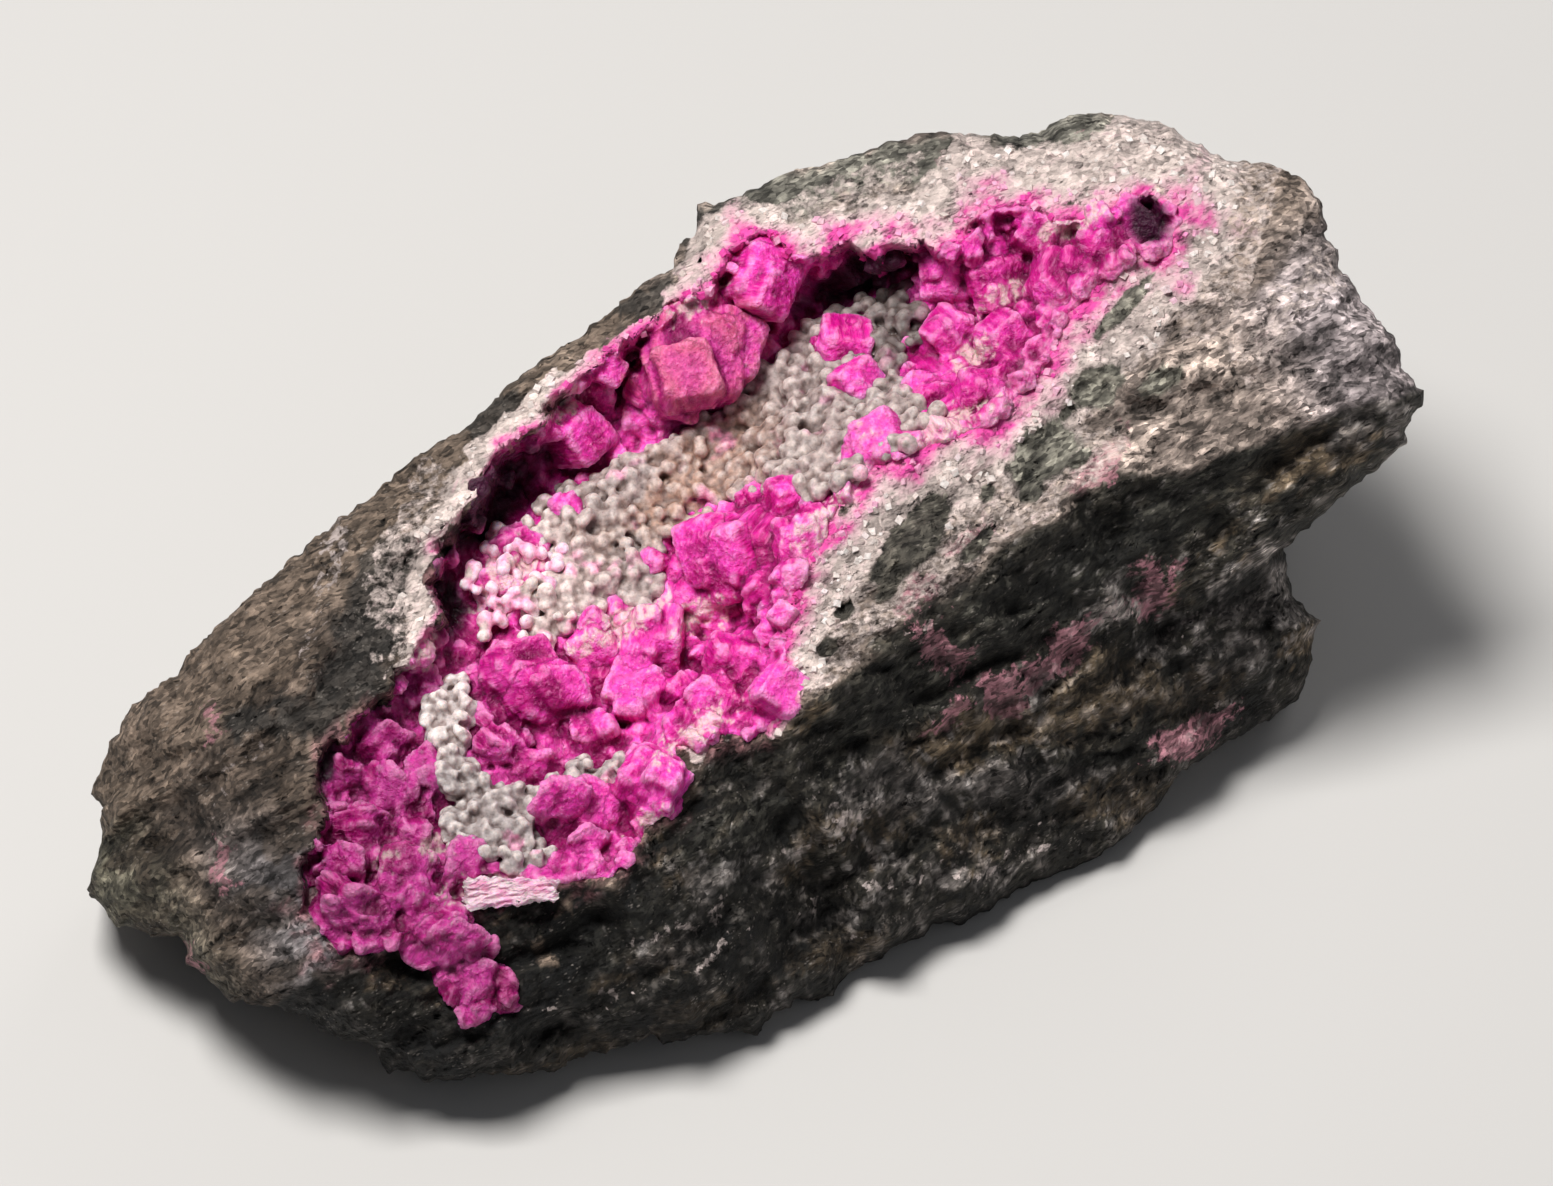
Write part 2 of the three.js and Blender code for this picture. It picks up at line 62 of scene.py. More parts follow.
LEFT_SIDE = np.array([
    (-50.2, -20), (-50, -17.5), (-51.5, -16), (-53, -14.5), (-53.7, -12.5), (-55, -10.5), (-57, -9),
    (-59, -7.5), (-60, -5), (-61, -2.5), (-60.3, -1.3), (-60.5, 0), (-62.5, 1), (-65, 4),
    (-65.7, 7.8), (-62, 11), (-61.8, 12.2), (-60.3, 13), (-61, 15),
])
UPPER_SIDE = np.array([
    (-61, 15), (-57, 18.2), (-52.5, 20.4), (-49, 20.2), (-46, 21.8), (-40, 23.2), (-36, 23.8),
    (-33, 24.6), (-27, 25.4), (-20, 26.6), (-14, 27), (-10, 28.3), (-4, 28.8), (0, 29), (5, 30.1),
    (8, 30.2), (11.5, 32), (13, 33.6), (15, 32.8), (22, 32.2), (26, 31), (30, 30.4), (35, 29),
    (38, 27), (40, 25.4), (43, 24.3), (47, 24), (50, 22), (53.5, 19.5), (54.5, 17), (55.7, 15.3),
    (57, 13.3), (59, 11.5), (61.3, 9.2),
])
RIGHT_SIDE = np.array([
    (38, -32.4), (40.5, -30.5), (41.5, -29.1), (43.2, -27.3), (42.3, -24), (43.7, -20), (50, -18.5),
    (57.5, -17), (59, -15.4), (60.7, -14.5), (61, -12.3), (60.6, -10.7), (61.2, -8.3), (60.9, -5.3),
    (60.4, -0.3), (61.2, 1.3), (60.9, 3), (62, 5.7), (61.3, 9.2),
])
LOWER_SIDE = np.array([
    (-50.2, -20), (-48.2, -20.8), (-47.8, -22.3), (-45.5, -23.7), (-42.5, -24.6), (-39.5, -26.2),
    (-36.8, -27.6), (-34.7, -27.4), (-31.5, -28.6), (-28, -29), (-27.3, -30.2), (-24.3, -31.3),
    (-21.8, -32.1), (-20, -33.8), (-17.8, -33), (-15.5, -33), (-12.5, -34.4), (-10.5, -33.5),
    (-5, -33.4), (-0.5, -33.6), (1.2, -34.6), (8.5, -34.6), (10.5, -35.3), (15, -35.6), (18.5, -35.3),
    (23, -33.8), (25, -32.9), (29, -32.6), (34.5, -32.7), (38, -32.4),
])
RIDGE = np.array([
    (-62, -9), (-50, -9.5), (-45, -10.2), (-40, -11), (-35, -11), (-30, -12.5), (-27, -13.5),
    (-24, -15.5), (-20, -13.5), (-15, -12.5), (-9, -9), (-5, -11.5), (-1.5, -9.5), (5, -9.2),
    (8.5, -7.9), (13, -7.8), (17, -8), (20, -6.8), (27, -6.8), (30, -5.6), (36, -7.6), (42.5, -9.4),
    (46, -9.6), (50.5, -10.8), (55, -11), (61, -13.3),
])
UPPER_RIM = np.array([
    (-49, -3.5), (-47.5, 0), (-44.8, 1.5), (-43, 3), (-42.2, 6), (-41, 8), (-38.5, 8.2), (-36.5, 9.2),
    (-33, 9), (-31, 10.5), (-28, 12), (-25.5, 13), (-25, 16), (-23, 17.8), (-20, 19.2), (-18, 21),
    (-15.5, 22.5), (-13.5, 23.5), (-10, 23.5), (-6, 25), (-3, 25.7), (3, 26.5), (8, 27), (9.5, 26),
    (13, 28), (16.5, 28.5), (17.5, 26), (20, 24), (23, 24), (24, 22), (28.8, 20.5), (29.3, 18.8),
    (32, 19), (36, 20.3), (38.5, 19), (40.5, 16.5), (43, 15), (48.5, 14.5), (50, 11.5),
])
LOWER_RIM = np.array([
    (-49, -9), (-45, -10.2), (-37, -11), (-34.8, -10.5), (-30, -12.2), (-24, -15), (-20, -13.4),
    (-15, -11), (-13, -8), (-9, -9), (-6.5, -10.5), (-2, -9.5), (0, -4.5), (2, -2), (4.5, 0),
    (8, 2.5), (12, 4), (15, 5), (17, 4.5), (20.5, 4), (24, 3.5), (28, 3.8), (33, 5.5), (36.5, 8),
    (38, 8.5), (42, 9.5), (45, 10), (47.5, 8.2), (50, 10.5),
])
FLOOR_DEPTH = np.array([
    (-50, 4), (-40, 5.5), (-25, 7.5), (-10, 10), (5, 11.5), (18, 10.5), (28, 8), (40, 5.5), (48, 4.5),
])
CAVES = np.array([
    (-15.5, 19, 8, 2.6, 4), (23.5, 20, 6, 2.2, 3), (47.5, 12, 2.6, 2, 2), (-24, 12.5, 2.2, 3, 2),
])


def turn_about(axis, angle):
    """Turn by an angle about x (0) or z (2): the usual sine and cosine matrix."""
    cosine, sine = np.cos(angle), np.sin(angle)
    first, second = ((1, 2), (2, 0), (0, 1))[axis]
    turn = np.eye(3)
    turn[first, first] = turn[second, second] = cosine
    turn[first, second] = -sine
    turn[second, first] = sine
    return turn


FACE_TO_FRAME = turn_about(2, FACE_AZIMUTH) @ turn_about(0, FACE_LEAN) @ turn_about(2, FACE_TURN)


def to_frame(points):
    """Show-face points in mm, turned and moved into the standing frame, over a thousand for metres."""
    return (points @ FACE_TO_FRAME.T + FACE_ORIGIN) / 1000.0


def even_points(line, count):
    """Points at equal steps along a line: its places read off at equal parts of its running length."""
    steps = np.linalg.norm(np.diff(line, axis=0), axis=1)
    length = np.concatenate([[0.0], np.cumsum(steps)])
    at = np.linspace(0.0, length[-1], count + 1)
    return np.stack([np.interp(at, length, line[:, 0]), np.interp(at, length, line[:, 1])], axis=1)


def soft_min(x, y, rounding):
    """The smaller of two heights, rounded: half of their sum less hypot(x - y, rounding)."""
    return (x + y - np.hypot(x - y, rounding)) / 2


def soft_max(x, y, rounding):
    """The larger of two heights, rounded: half of their sum plus hypot(x - y, rounding)."""
    return (x + y + np.hypot(x - y, rounding)) / 2


def smooth(start, end, x):
    """S-curve from 0 at start to 1 at end: 3t squared less 2t cubed."""
    t = np.clip((x - start) / (end - start), 0.0, 1.0)
    return t * t * (3 - 2 * t)


def mix(first, second, share):
    """First colour to second by a share per point: first + share x (second - first)."""
    first, second = np.asarray(first), np.asarray(second)
    return first + (second - first) * np.asarray(share)[..., None]


def lumps(points, seed):
    """Smooth lumps of size one: random slopes at whole-number corners, joined by an S-curve."""
    slopes = np.random.default_rng(seed).normal(size=(32, 32, 32, 3))
    cell = np.floor(points).astype(int)
    part = points - cell
    ease = part**3 * (part * (part * 6 - 15) + 10)
    total = np.zeros(points.shape[:-1])
    for corner in np.ndindex(2, 2, 2):
        at = (cell + corner) % 32
        slope = slopes[at[..., 0], at[..., 1], at[..., 2]]
        weight = np.prod(np.where(np.array(corner) == 1, ease, 1 - ease), axis=-1)
        total += weight * np.sum(slope * (part - corner), axis=-1)
    return total


def crags(points, size, layers, seed, creased=False):
    """Sum of lumps, each layer half the size and a little over half the height of the last."""
    total = np.zeros(points.shape[:-1])
    for layer in range(layers):
        layer_points = points * (2.03**layer / size) + 7.3 * layer
        wave = lumps(layer_points, seed + layer)
        total += 0.55**layer * (0.5 - 2 * np.abs(wave) if creased else wave)
    return total


def tilted_caps(a, b, size, tilt, seed):
    """The highest of the tilted, slightly domed caps that stand on nearby seeds, one a square."""
    table = np.random.default_rng(seed).uniform(-1, 1, size=(64, 64, 5))
    x, y = a / size, b / size
    column, row = np.floor(x).astype(int), np.floor(y).astype(int)
    best = np.full(np.shape(x), -9.0)
    for step in np.ndindex(5, 5):
        at_column, at_row = column + step[0] - 2, row + step[1] - 2
        values = table[at_column % 64, at_row % 64]
        dx = x - (at_column + 0.5 + 0.45 * values[..., 0])
        dy = y - (at_row + 0.5 + 0.45 * values[..., 1])
        cap = 0.3 * values[..., 2] + tilt * (values[..., 3] * dx + values[..., 4] * dy)
        best = np.maximum(best, cap - 0.4 * (dx * dx + dy * dy))
    return best


def broken_faces(a, b, size, tilt, seed):
    """Flat breaks with sharp ridges and clefts: one field of tilted caps less another."""
    return tilted_caps(a, b, size, tilt, seed) - tilted_caps(a + 7, b + 3, 0.83 * size, tilt, seed + 500)


def broken_relief(a, b):
    """Relief drawn out along the length, from waves that are bent by slower waves."""
    p = a + 3 * np.sin(b * 0.17 + 1)
    q = b + 2.2 * np.sin(a * 0.13 + b * 0.09)
    plates = np.abs(np.sin(0.11 * p + 0.36 * q + 0.4)) - 0.6
    bumps = np.sin(0.33 * p - 0.21 * q + 2) * np.sin(0.14 * p + 0.62 * q)
    grain = np.sin(0.55 * p + 1.1 * q) * np.sin(0.9 * p - 0.5 * q + 1.2)
    return 1.1 * plates + 0.9 * bumps + 0.6 * grain


def flat_points(a, b, stretch=1.0):
    """Places on the face as 3-D points for the lump functions, pressed along the length."""
    return np.stack([a / stretch, b, 0.3 * a - 0.2 * b], axis=-1)


def hollow_depth(a, b):
    """Depth below the upper face: the least of two side walls, two end walls and the floor."""
    ragged = 1.0 * crags(flat_points(a, b), 2.6, 4, 21)
    from_upper = np.interp(a, *UPPER_RIM.T) - b + ragged
    from_lower = b - np.interp(a, *LOWER_RIM.T)
    open_edge = smooth(0, -7, a)
    gentle = smooth(27, 31, a) * smooth(46, 43, a)
    upper_wall = (UPPER_WALL_SLOPE - 4.0 * gentle) * from_upper
    lower_wall = OPEN_EDGE_DEPTH * open_edge + LOWER_WALL_SLOPE * from_lower
    end_wall = np.minimum(2.2 * (a + 50), 1.6 * (51 - a))
    floor = np.interp(a, *FLOOR_DEPTH.T)
    for cave_a, cave_b, half_a, half_b, extra in CAVES:
        floor = floor + extra * np.exp(-((a - cave_a) / half_a) ** 2 - ((b - cave_b) / half_b) ** 2)
    walls = soft_min(upper_wall, lower_wall, 1.5)
    depth = np.maximum(0, soft_min(walls, soft_min(floor, end_wall, 1.5), 1.5))
    below = OPEN_EDGE_DEPTH * open_edge * smooth(-12, 0, from_lower) * smooth(-50, -44, a)
    return np.where(from_upper <= 0, 0, np.where(from_lower <= 0, below, depth))


def above_ridge(a, b):
    """How far a place is above the ridge that parts the upper face from the front."""
    return b - np.interp(a, *RIDGE.T)


def plain_front(a, b):
    """Visible side of the stone: a plane, less the slope below the ridge, a step and the hollow."""
    below = soft_max(0, -above_ridge(a, b), 0.5)
    over = np.maximum(b, np.interp(a, *RIDGE.T))
    upper_face = 18.8 - 0.18 * a - 0.37 * over - TIP_SLOPE * soft_max(0, TIP_START - a, 3)
    ledge_step = LEDGE_STEP * smooth(28, 42, a) * smooth(-17.5, -21, b)
    return upper_face - FRONT_SLOPE * below - ledge_step - hollow_depth(a, b)


# Bands, veins and clasts of the stone, as lines with a width and as ovals, both in face mm.

CALCITE_BANDS = [
    (((-1, -6), (4, -2.5), (9, 0), (15, 1.8), (22, 0.8), (28, 0.8), (34, 3.4), (40, 6), (46, 7)), 3.4),
    (((40, 4.5), (46, 7), (51, 9), (54, 13), (52, 17), (46, 18), (41, 20)), 3.2),
    (((41, 20), (36, 23.5), (30, 22), (26, 23.5), (20, 26), (17, 29.5), (12, 29)), 2.4),
    (((38, 20), (37, 24), (36.5, 28.5)), 1.5),
    (((8, 27.5), (11, 29.5), (12.5, 31)), 1.6),
    (((46, 20), (51, 20.5), (53, 19)), 1.4),
    (((-9, -8), (-12, -8.2)), 1.5),
    (((-27.5, 12.3), (-25.8, 16), (-23.6, 18.8), (-19, 21.4), (-15, 24), (-10, 24.9), (-5, 26.6)), 1.0),
    (((-31, 10.8), (-29, 12)), 0.9),
]
MOTTLED_BANDS = [
    (((-29.5, 11), (-28, 15.5), (-25.5, 19.5), (-20, 23)), 2.2),
    (((2, -8), (10, -7), (18, -5), (26, -4.8), (33, -3)), 2.2),
    (((48, 3), (54, 7), (57, 10)), 2.4),
    (((48, -3), (56, -1), (60, 1)), 1.4),
    (((22, 28), (31, 27.5)), 1.6),
]
VEINS = [
    (((12, -7), (12.5, -10), (12, -13.5)), 0.7),
    (((9, -6.5), (10.5, -9), (10.8, -11)), 0.5),
    (((15, -20.2), (18, -19.2), (21, -18.0), (26, -17.0), (31, -16.6)), 1.5),
    (((-4, -18), (-3, -20), (-4.5, -23), (-3.5, -25)), 0.5),
    (((-9, -21), (-5, -22), (0, -21.5), (5, -22.6)), 0.5),
    (((-12, -26), (-6, -27), (0, -28.6), (7, -29), (12, -30.6)), 0.4),
    (((2, -30), (7, -31.4), (12, -32.4)), 0.6),
    (((-8, -30), (-7, -32), (-7.6, -33.4)), 0.4),
    (((-24, -21), (-20, -22), (-16, -21.4)), 0.7),
    (((-30, -23.5), (-25, -25)), 0.5),
    (((24, -30.5), (27, -29.8), (31, -29.5)), 1.0),
    (((30, -21.5), (34, -20.4)), 0.7),
    (((-38, 15), (-36, 17.6), (-33, 21), (-29.4, 24.3)), 1.2),
    (((-52, 7), (-50, 10), (-46, 11)), 1.0),
    (((-22, -26), (-18, -24.5), (-15, -25)), 0.6),
    (((-40, -17.5), (-38, -21), (-34, -23)), 0.4),
]
TAN_SKINS = [
    (((-60, 14), (-52, 18.5), (-44, 21), (-36, 22), (-28, 23.5), (-20, 25), (-13, 26)), 2.6),
    (((53, 5), (58, 8), (60, 10)), 3.0),
    (((-56, 13), (-48, 16), (-40, 18)), 1.6),
    (((-12, 27.4), (-4, 28), (4, 29)), 1.2),
    (((-32.4, -16), (-32, -17.8)), 0.6),
    (((-28.8, -14.2), (-28.6, -15.6)), 0.5),
]
DARK_PATCHES = [
    (((-36, 12), (-33, 14), (-30, 16.5), (-27, 19)), 2.6),
    (((-45, 13.6), (-39, 10)), 1.3),
    (((12, 31.5), (16, 30.8)), 1.7),
    (((-14, 26), (-10, 26.6)), 1.2),
    (((3, 28.6), (6, 28.2)), 1.1),
]
PINK_STAINS = np.array([
    (12, -12.3, 2.0, 3.2, 10), (12, -6.5, 2.2, 1.3, 20), (20.5, -17.8, 4.6, 1.7, 14),
    (15, -18.3, 1.5, 2.4, -20), (31, -16.7, 2.6, 2.0, 0), (27.5, -30, 3.8, 1.4, 0),
    (-48.2, 14.7, 2.0, 1.5, 30), (-53, 3.5, 1.6, 2.6, 0), (-60.8, -2.5, 1.2, 2.0, 0),
    (9.4, -17.4, 2.4, 0.9, 0), (32, -4.6, 3.4, 1.6, 15), (45, 4.2, 3.4, 0.9, 20),
    (36, 25, 1.6, 3.0, -20), (51, 19, 4.0, 1.6, -30), (53, 12, 2.0, 3.0, 10),
    (-12, 23.6, 1.4, 1.0, 0), (20, -4.5, 3.0, 1.2, 10), (-27, -12.5, 2.4, 1.0, 0),
])
BROWN_PATCHES = np.array([
    (10, -19.8, 9.0, 2.2, -20), (22.5, -22.8, 5.0, 3.0, -10), (-24, -29.5, 5.5, 1.6, -12),
    (-1, -23, 3.2, 1.5, -15), (-5.5, -20.8, 2.4, 1.5, 0), (6, -27.8, 2.4, 1.6, 0),
    (-10, -30.5, 5.0, 1.4, -15), (30, -27, 4.0, 2.0, 10), (18, -31, 4.0, 1.5, -10),
    (49, -13.5, 6.0, 2.0, -10), (-42, 13, 4.0, 2.4, -35), (-56, 10, 3.0, 2.0, 0),
])
GREY_PATCHES = np.array([
    (1.5, -18.8, 4.4, 1.9, 0), (2.5, -22.4, 6.4, 2.2, -10), (11, -25.4, 4.6, 2.6, -20),
    (3.5, -31, 4.0, 1.1, -20), (39, -22.2, 5.6, 4.4, -20), (26.4, -15.8, 2.8, 2.2, 0),
    (17, -19.8, 1.7, 1.7, 0), (36, -26, 3.8, 2.6, 0), (-17, -19.3, 3.0, 2.2, 0),
    (-2.6, -26, 3.4, 1.0, -25), (-12, -22.5, 3.0, 1.2, 0), (55, -13.5, 4.0, 1.8, 0),
    (-23, -23, 3.4, 1.6, -10), (16, -28.5, 3.2, 1.4, -10), (-9, -28, 4.0, 1.2, -20),
    (30.5, -21.5, 3.0, 1.6, 0),
])
CLASTS = np.array([
    (14.6, -2.2, 5.4, 2.0, 24), (28.5, -1.3, 3.8, 2.4, 12), (36, 1.5, 2.7, 1.7, 5),
    (41, -1, 2.2, 1.0, 0), (22.5, -2, 0.9, 0.7, 30), (26, -4, 1.1, 0.7, 0),
    (32.5, 0.8, 1.1, 0.6, 10), (6, -4.6, 1.3, 0.8, 25), (41.5, 6.4, 4.0, 0.8, 16),
    (3.2, -6.8, 1.1, 0.8, 0), (19.5, -5.4, 2.4, 0.7, 20), (10.5, -4.8, 1.5, 0.6, 20),
    (31, -3.2, 1.6, 0.7, 10),
])
DARK_CHUNKS = np.array([
    (7.6, -13.8, 7.5, 3.2, 8), (17.5, -12.5, 5.0, 2.6, 10), (27, -12.0, 7.0, 2.4, 12),
    (-12, -17.0, 6.0, 2.2, -5), (-27, -19.5, 7.0, 2.6, -8), (22, -27.5, 5.0, 1.8, -5),
    (0.5, -15.8, 4.0, 1.6, 0), (39, -11.5, 8.0, 2.6, 0),
])
GREY_CAP = np.array([(30, 28, 6.5, 2.2, -22), (20, 30.5, 7.0, 2.0, -10), (44, 23.4, 6.0, 2.2, -26)])
SHARD_SIDES = np.radians([8, 62, 121, 188, 236, 305])


def near_line(a, b, line, width):
    """Falls from 1 on a line of points to 0 at twice its width: least distance to its pieces."""
    nearest = np.full(np.shape(a), 99.0)
    for (a0, b0), (a1, b1) in zip(line[:-1], line[1:]):
        run_a, run_b = a1 - a0, b1 - b0
        along = np.clip(((a - a0) * run_a + (b - b0) * run_b) / (run_a**2 + run_b**2), 0, 1)
        nearest = np.minimum(nearest, np.hypot(a - a0 - along * run_a, b - b0 - along * run_b))
    return np.clip(1 - 0.5 * nearest / width, 0, 1)


def on_lines(a, b, lines):
    """The strongest of several lines at each place: 0.5 lies at the line's own width."""
    return np.max([near_line(a, b, line, width) for line, width in lines], axis=0)


def in_ovals(a, b, ovals):
    """1 less half the distance to the nearest oval's middle in its half widths, so 0.5 on its edge.

    A row is its middle, its half widths and its turn in degrees."""
    best = np.zeros(np.shape(a))
    for middle_a, middle_b, half_a, half_b, degrees in ovals:
        turn = np.radians(degrees)
        da, db = a - middle_a, b - middle_b
        along = (da * np.cos(turn) + db * np.sin(turn)) / half_a
        across = (db * np.cos(turn) - da * np.sin(turn)) / half_b
        best = np.maximum(best, 1 - 0.5 * np.hypot(along, across))
    return best


def thin_lines(a, b, size, stretch, width, seed):
    """1 on thin winding lines, where a field of crags passes through nought, else 0."""
    return smooth(width, 0.3 * width, np.abs(crags(flat_points(a, b, stretch), size, 4, seed)))


def in_shards(a, b, ovals):
    """As in_ovals, but each oval is cut to straight sides: the largest of its reaches sideways."""
    best = np.zeros(np.shape(a))
    for number, (middle_a, middle_b, half_a, half_b, degrees) in enumerate(ovals):
        turn = np.radians(degrees)
        da, db = a - middle_a, b - middle_b
        along = (da * np.cos(turn) + db * np.sin(turn)) / half_a
        across = (db * np.cos(turn) - da * np.sin(turn)) / half_b
        sides = [along * np.cos(side + number) + across * np.sin(side + number) for side in SHARD_SIDES]
        best = np.maximum(best, 1 - 0.55 * np.max(sides, axis=0))
    return best


def stone_fields(a, b):
    """Shares of calcite, clast, vein, stain and flush at each place; 0.5 is the edge of each.

    Each is a table of lines, ovals or shards, read at places that crags have moved a little."""
    drawn = flat_points(a, b, 2.0)
    warp_a = a + 1.6 * crags(drawn, 2.8, 4, 121)
    warp_b = b + 1.1 * crags(drawn, 2.2, 4, 131)
    above = smooth(-0.7, 0.2, above_ridge(a, b) + 0.9 * crags(drawn, 3.0, 4, 135))
    to_hollow = np.minimum(np.interp(a, *UPPER_RIM.T) - b, b - np.interp(a, *LOWER_RIM.T))
    to_hollow = np.minimum(to_hollow, np.minimum(a + 49.5, 51 - a)) + 1.8 * crags(drawn, 2.4, 4, 137)
    flush = smooth(-4.2, 0.6, to_hollow) * smooth(-8, 0, a)
    mottled = np.minimum(on_lines(warp_a, warp_b, MOTTLED_BANDS), 0.47)
    mottled = np.maximum(mottled, 0.8 * smooth(-2.6, -0.4, to_hollow) * smooth(-9, -3, a))
    shard_a, shard_b = 0.75 * a + 0.25 * warp_a, 0.75 * b + 0.25 * warp_b
    return {
        "calcite": np.maximum(on_lines(warp_a, warp_b, CALCITE_BANDS), mottled) * above,
        "clast": in_shards(shard_a, shard_b, CLASTS) * above,
        "dusty": smooth(-1.8, 0.4, to_hollow),
        "vein": on_lines(warp_a, warp_b, VEINS) * (0.45 + 0.55 * thin_lines(a, b, 3.2, 1.6, 0.16, 145)),
        "stain": in_ovals(warp_a, warp_b, PINK_STAINS) * (0.72 + 0.28 * smooth(-46, -30, a)),
        "flush": np.maximum(flush, 0.8 * smooth(-1.0, 0.4, to_hollow)),
        "above": above,
    }


def stone_cracks(a, b):
    """Thin winding lines along the stone, kept where a broad field of crags is high."""
    here = smooth(0.0, 0.35, crags(flat_points(a, b, 1.5), 8, 2, 155))
    return thin_lines(a, b + 0.1 * a, 6.5, 3.5, 0.06, 151) * here


def front_relief(a, b):
    """Broken surface: saw waves across the layers, flat breaks of three sizes and creased crags.

    Calcite is sugary instead, and the relief is gentler in the hollow and at the very top."""
    fields = stone_fields(a, b)
    on_front = 1 - fields["above"]
    drawn = flat_points(a, b, 1.8)
    layers = (b + 0.22 * a + 2.4 * crags(drawn, 11, 3, 31)) / 4.4
    step = np.mod(layers, 1.0)
    slabs = np.minimum(step / 0.86, (1 - step) / 0.14) - 0.5
    thin = np.mod(3.1 * layers + 0.5 * crags(drawn, 6, 2, 35), 1.0)
    plates = np.minimum(thin / 0.8, (1 - thin) / 0.2) - 0.5
    bent = b + 0.5 * crags(drawn, 3.0, 3, 47)
    breaks = 1.7 * broken_faces(a * 0.6, bent, 7.5, 0.9, 41)
    breaks = breaks + (0.35 + 0.55 * on_front) * broken_faces(a * 0.6, bent, 2.9, 1.0, 42)
    breaks = breaks + (0.12 + 0.22 * on_front) * broken_faces(a * 0.7, bent, 1.3, 1.1, 43)
    breaks = breaks * (1 + 0.45 * smooth(-30, -44, a) * fields["above"])
    creases = 0.5 * crags(drawn, 2.4, 4, 51, creased=True)
    pits = (0.12 + 0.08 * on_front) * crags(flat_points(a, b, 1.5), 1.0, 3, 61)
    slab_share = smooth(-0.1, 0.6, crags(drawn, 9, 2, 33))
    cracks = stone_cracks(a, b)
    rough = 0.8 * broken_relief(a, b) + (0.25 + 0.6 * on_front) * slabs * slab_share
    rough = rough + (0.12 + 0.10 * on_front) * plates + (0.75 + 0.2 * on_front) * breaks
    rough = rough + (0.10 + 0.14 * on_front) * creases + pits - 0.4 * cracks
    sugar = 0.16 * broken_faces(a * 0.6, b, 1.2, 1.0, 63) + 0.24 * crags(flat_points(a, b, 2.4), 0.9, 3, 65)
    calcite = smooth(0.35, 0.6, fields["calcite"])
    rough = rough + calcite * (1 - smooth(0.4, 0.6, fields["clast"])) * (sugar + 0.35 - 0.35 * rough)
    in_hollow = smooth(0.3, 2.5, hollow_depth(a, b)) * smooth(-1.0, 1.0, above_ridge(a, b))
    height = (FACE_TO_FRAME[2, 1] * b + FACE_TO_FRAME[2, 0] * a
              + FACE_TO_FRAME[2, 2] * plain_front(a, b) + FACE_ORIGIN[2])
    return rough * (1 - 0.6 * in_hollow) * (1 - 0.7 * smooth(43.5, 47.5, height))


def hidden_side(a, b):
    """Far side of the stone: the highest of four planes, ground, back, bevel between and end."""
    ground = -26.5 - 0.42 * a - 0.727 * b + 0.7 * broken_relief(b * 0.8, a * 0.7)
    back = -37.1 - 0.28 * a + 1.54 * b + 2 * broken_relief(a + 20, b * 0.5)
    heel = -26 - 0.37 * a + 0.055 * b + broken_relief(a + 40, b)
    end = (0.935 * a - 0.058 * b - 57) / 0.35
    return soft_max(soft_max(soft_max(ground, back, 4), heel, 4), end, 3)


def fullness(distance, rounding):
    """Quarter circle: 0 at the outline, 1 at the rounding distance and beyond."""
    return np.sqrt(1 - (1 - np.minimum(1, distance / rounding)) ** 2)


def stone_top(a, b):
    """Height of the visible stone at any place, rounded down towards its upper and lower sides."""
    surface = plain_front(a, b)
    thickness = soft_max(surface - hidden_side(a, b), LEAST_THICKNESS, 3)
    full = fullness(np.maximum(0, np.interp(a, *UPPER_SIDE.T) - b), UPPER_ROUNDING)
    full = full * fullness(np.maximum(0, b - np.interp(a, *LOWER_SIDE.T)), LOWER_ROUNDING)
    return surface - EDGE_SHARE * thickness * (1 - full) + full * front_relief(a, b)


def face_grid(steps_along, steps_across):
    """Grid spread inside the outline: blends of opposite sides, less the blend of the corners."""
    s = np.linspace(0, 1, steps_along + 1)[:, None]
    t = np.linspace(0, 1, steps_across + 1)[None, :]
    lower = even_points(LOWER_SIDE, steps_along)
    upper = even_points(UPPER_SIDE, steps_along)
    left = even_points(LEFT_SIDE, steps_across)
    right = even_points(RIGHT_SIDE, steps_across)
    axes = []
    for k in (0, 1):
        sides = (1 - t) * lower[:, None, k] + t * upper[:, None, k]
        ends = (1 - s) * left[None, :, k] + s * right[None, :, k]
        corners = (1 - s) * (1 - t) * lower[0, k] + s * (1 - t) * lower[-1, k]
        corners = corners + (1 - s) * t * upper[0, k] + s * t * upper[-1, k]
        axes.append(sides + ends - corners)
    height = (upper[:, 1] - lower[:, 1])[:, None]
    full = fullness(np.minimum(s, 1 - s) * FACE_LENGTH, END_ROUNDING)
    full = full * fullness(t * height, LOWER_ROUNDING) * fullness((1 - t) * height, UPPER_ROUNDING)
    return axes[0], axes[1], full


def grid_squares(index):
    """Four-cornered faces of a grid of point numbers, turned to face +w."""
    return np.stack([index[:-1, :-1], index[1:, :-1], index[1:, 1:], index[:-1, 1:]], -1).reshape(-1, 4)


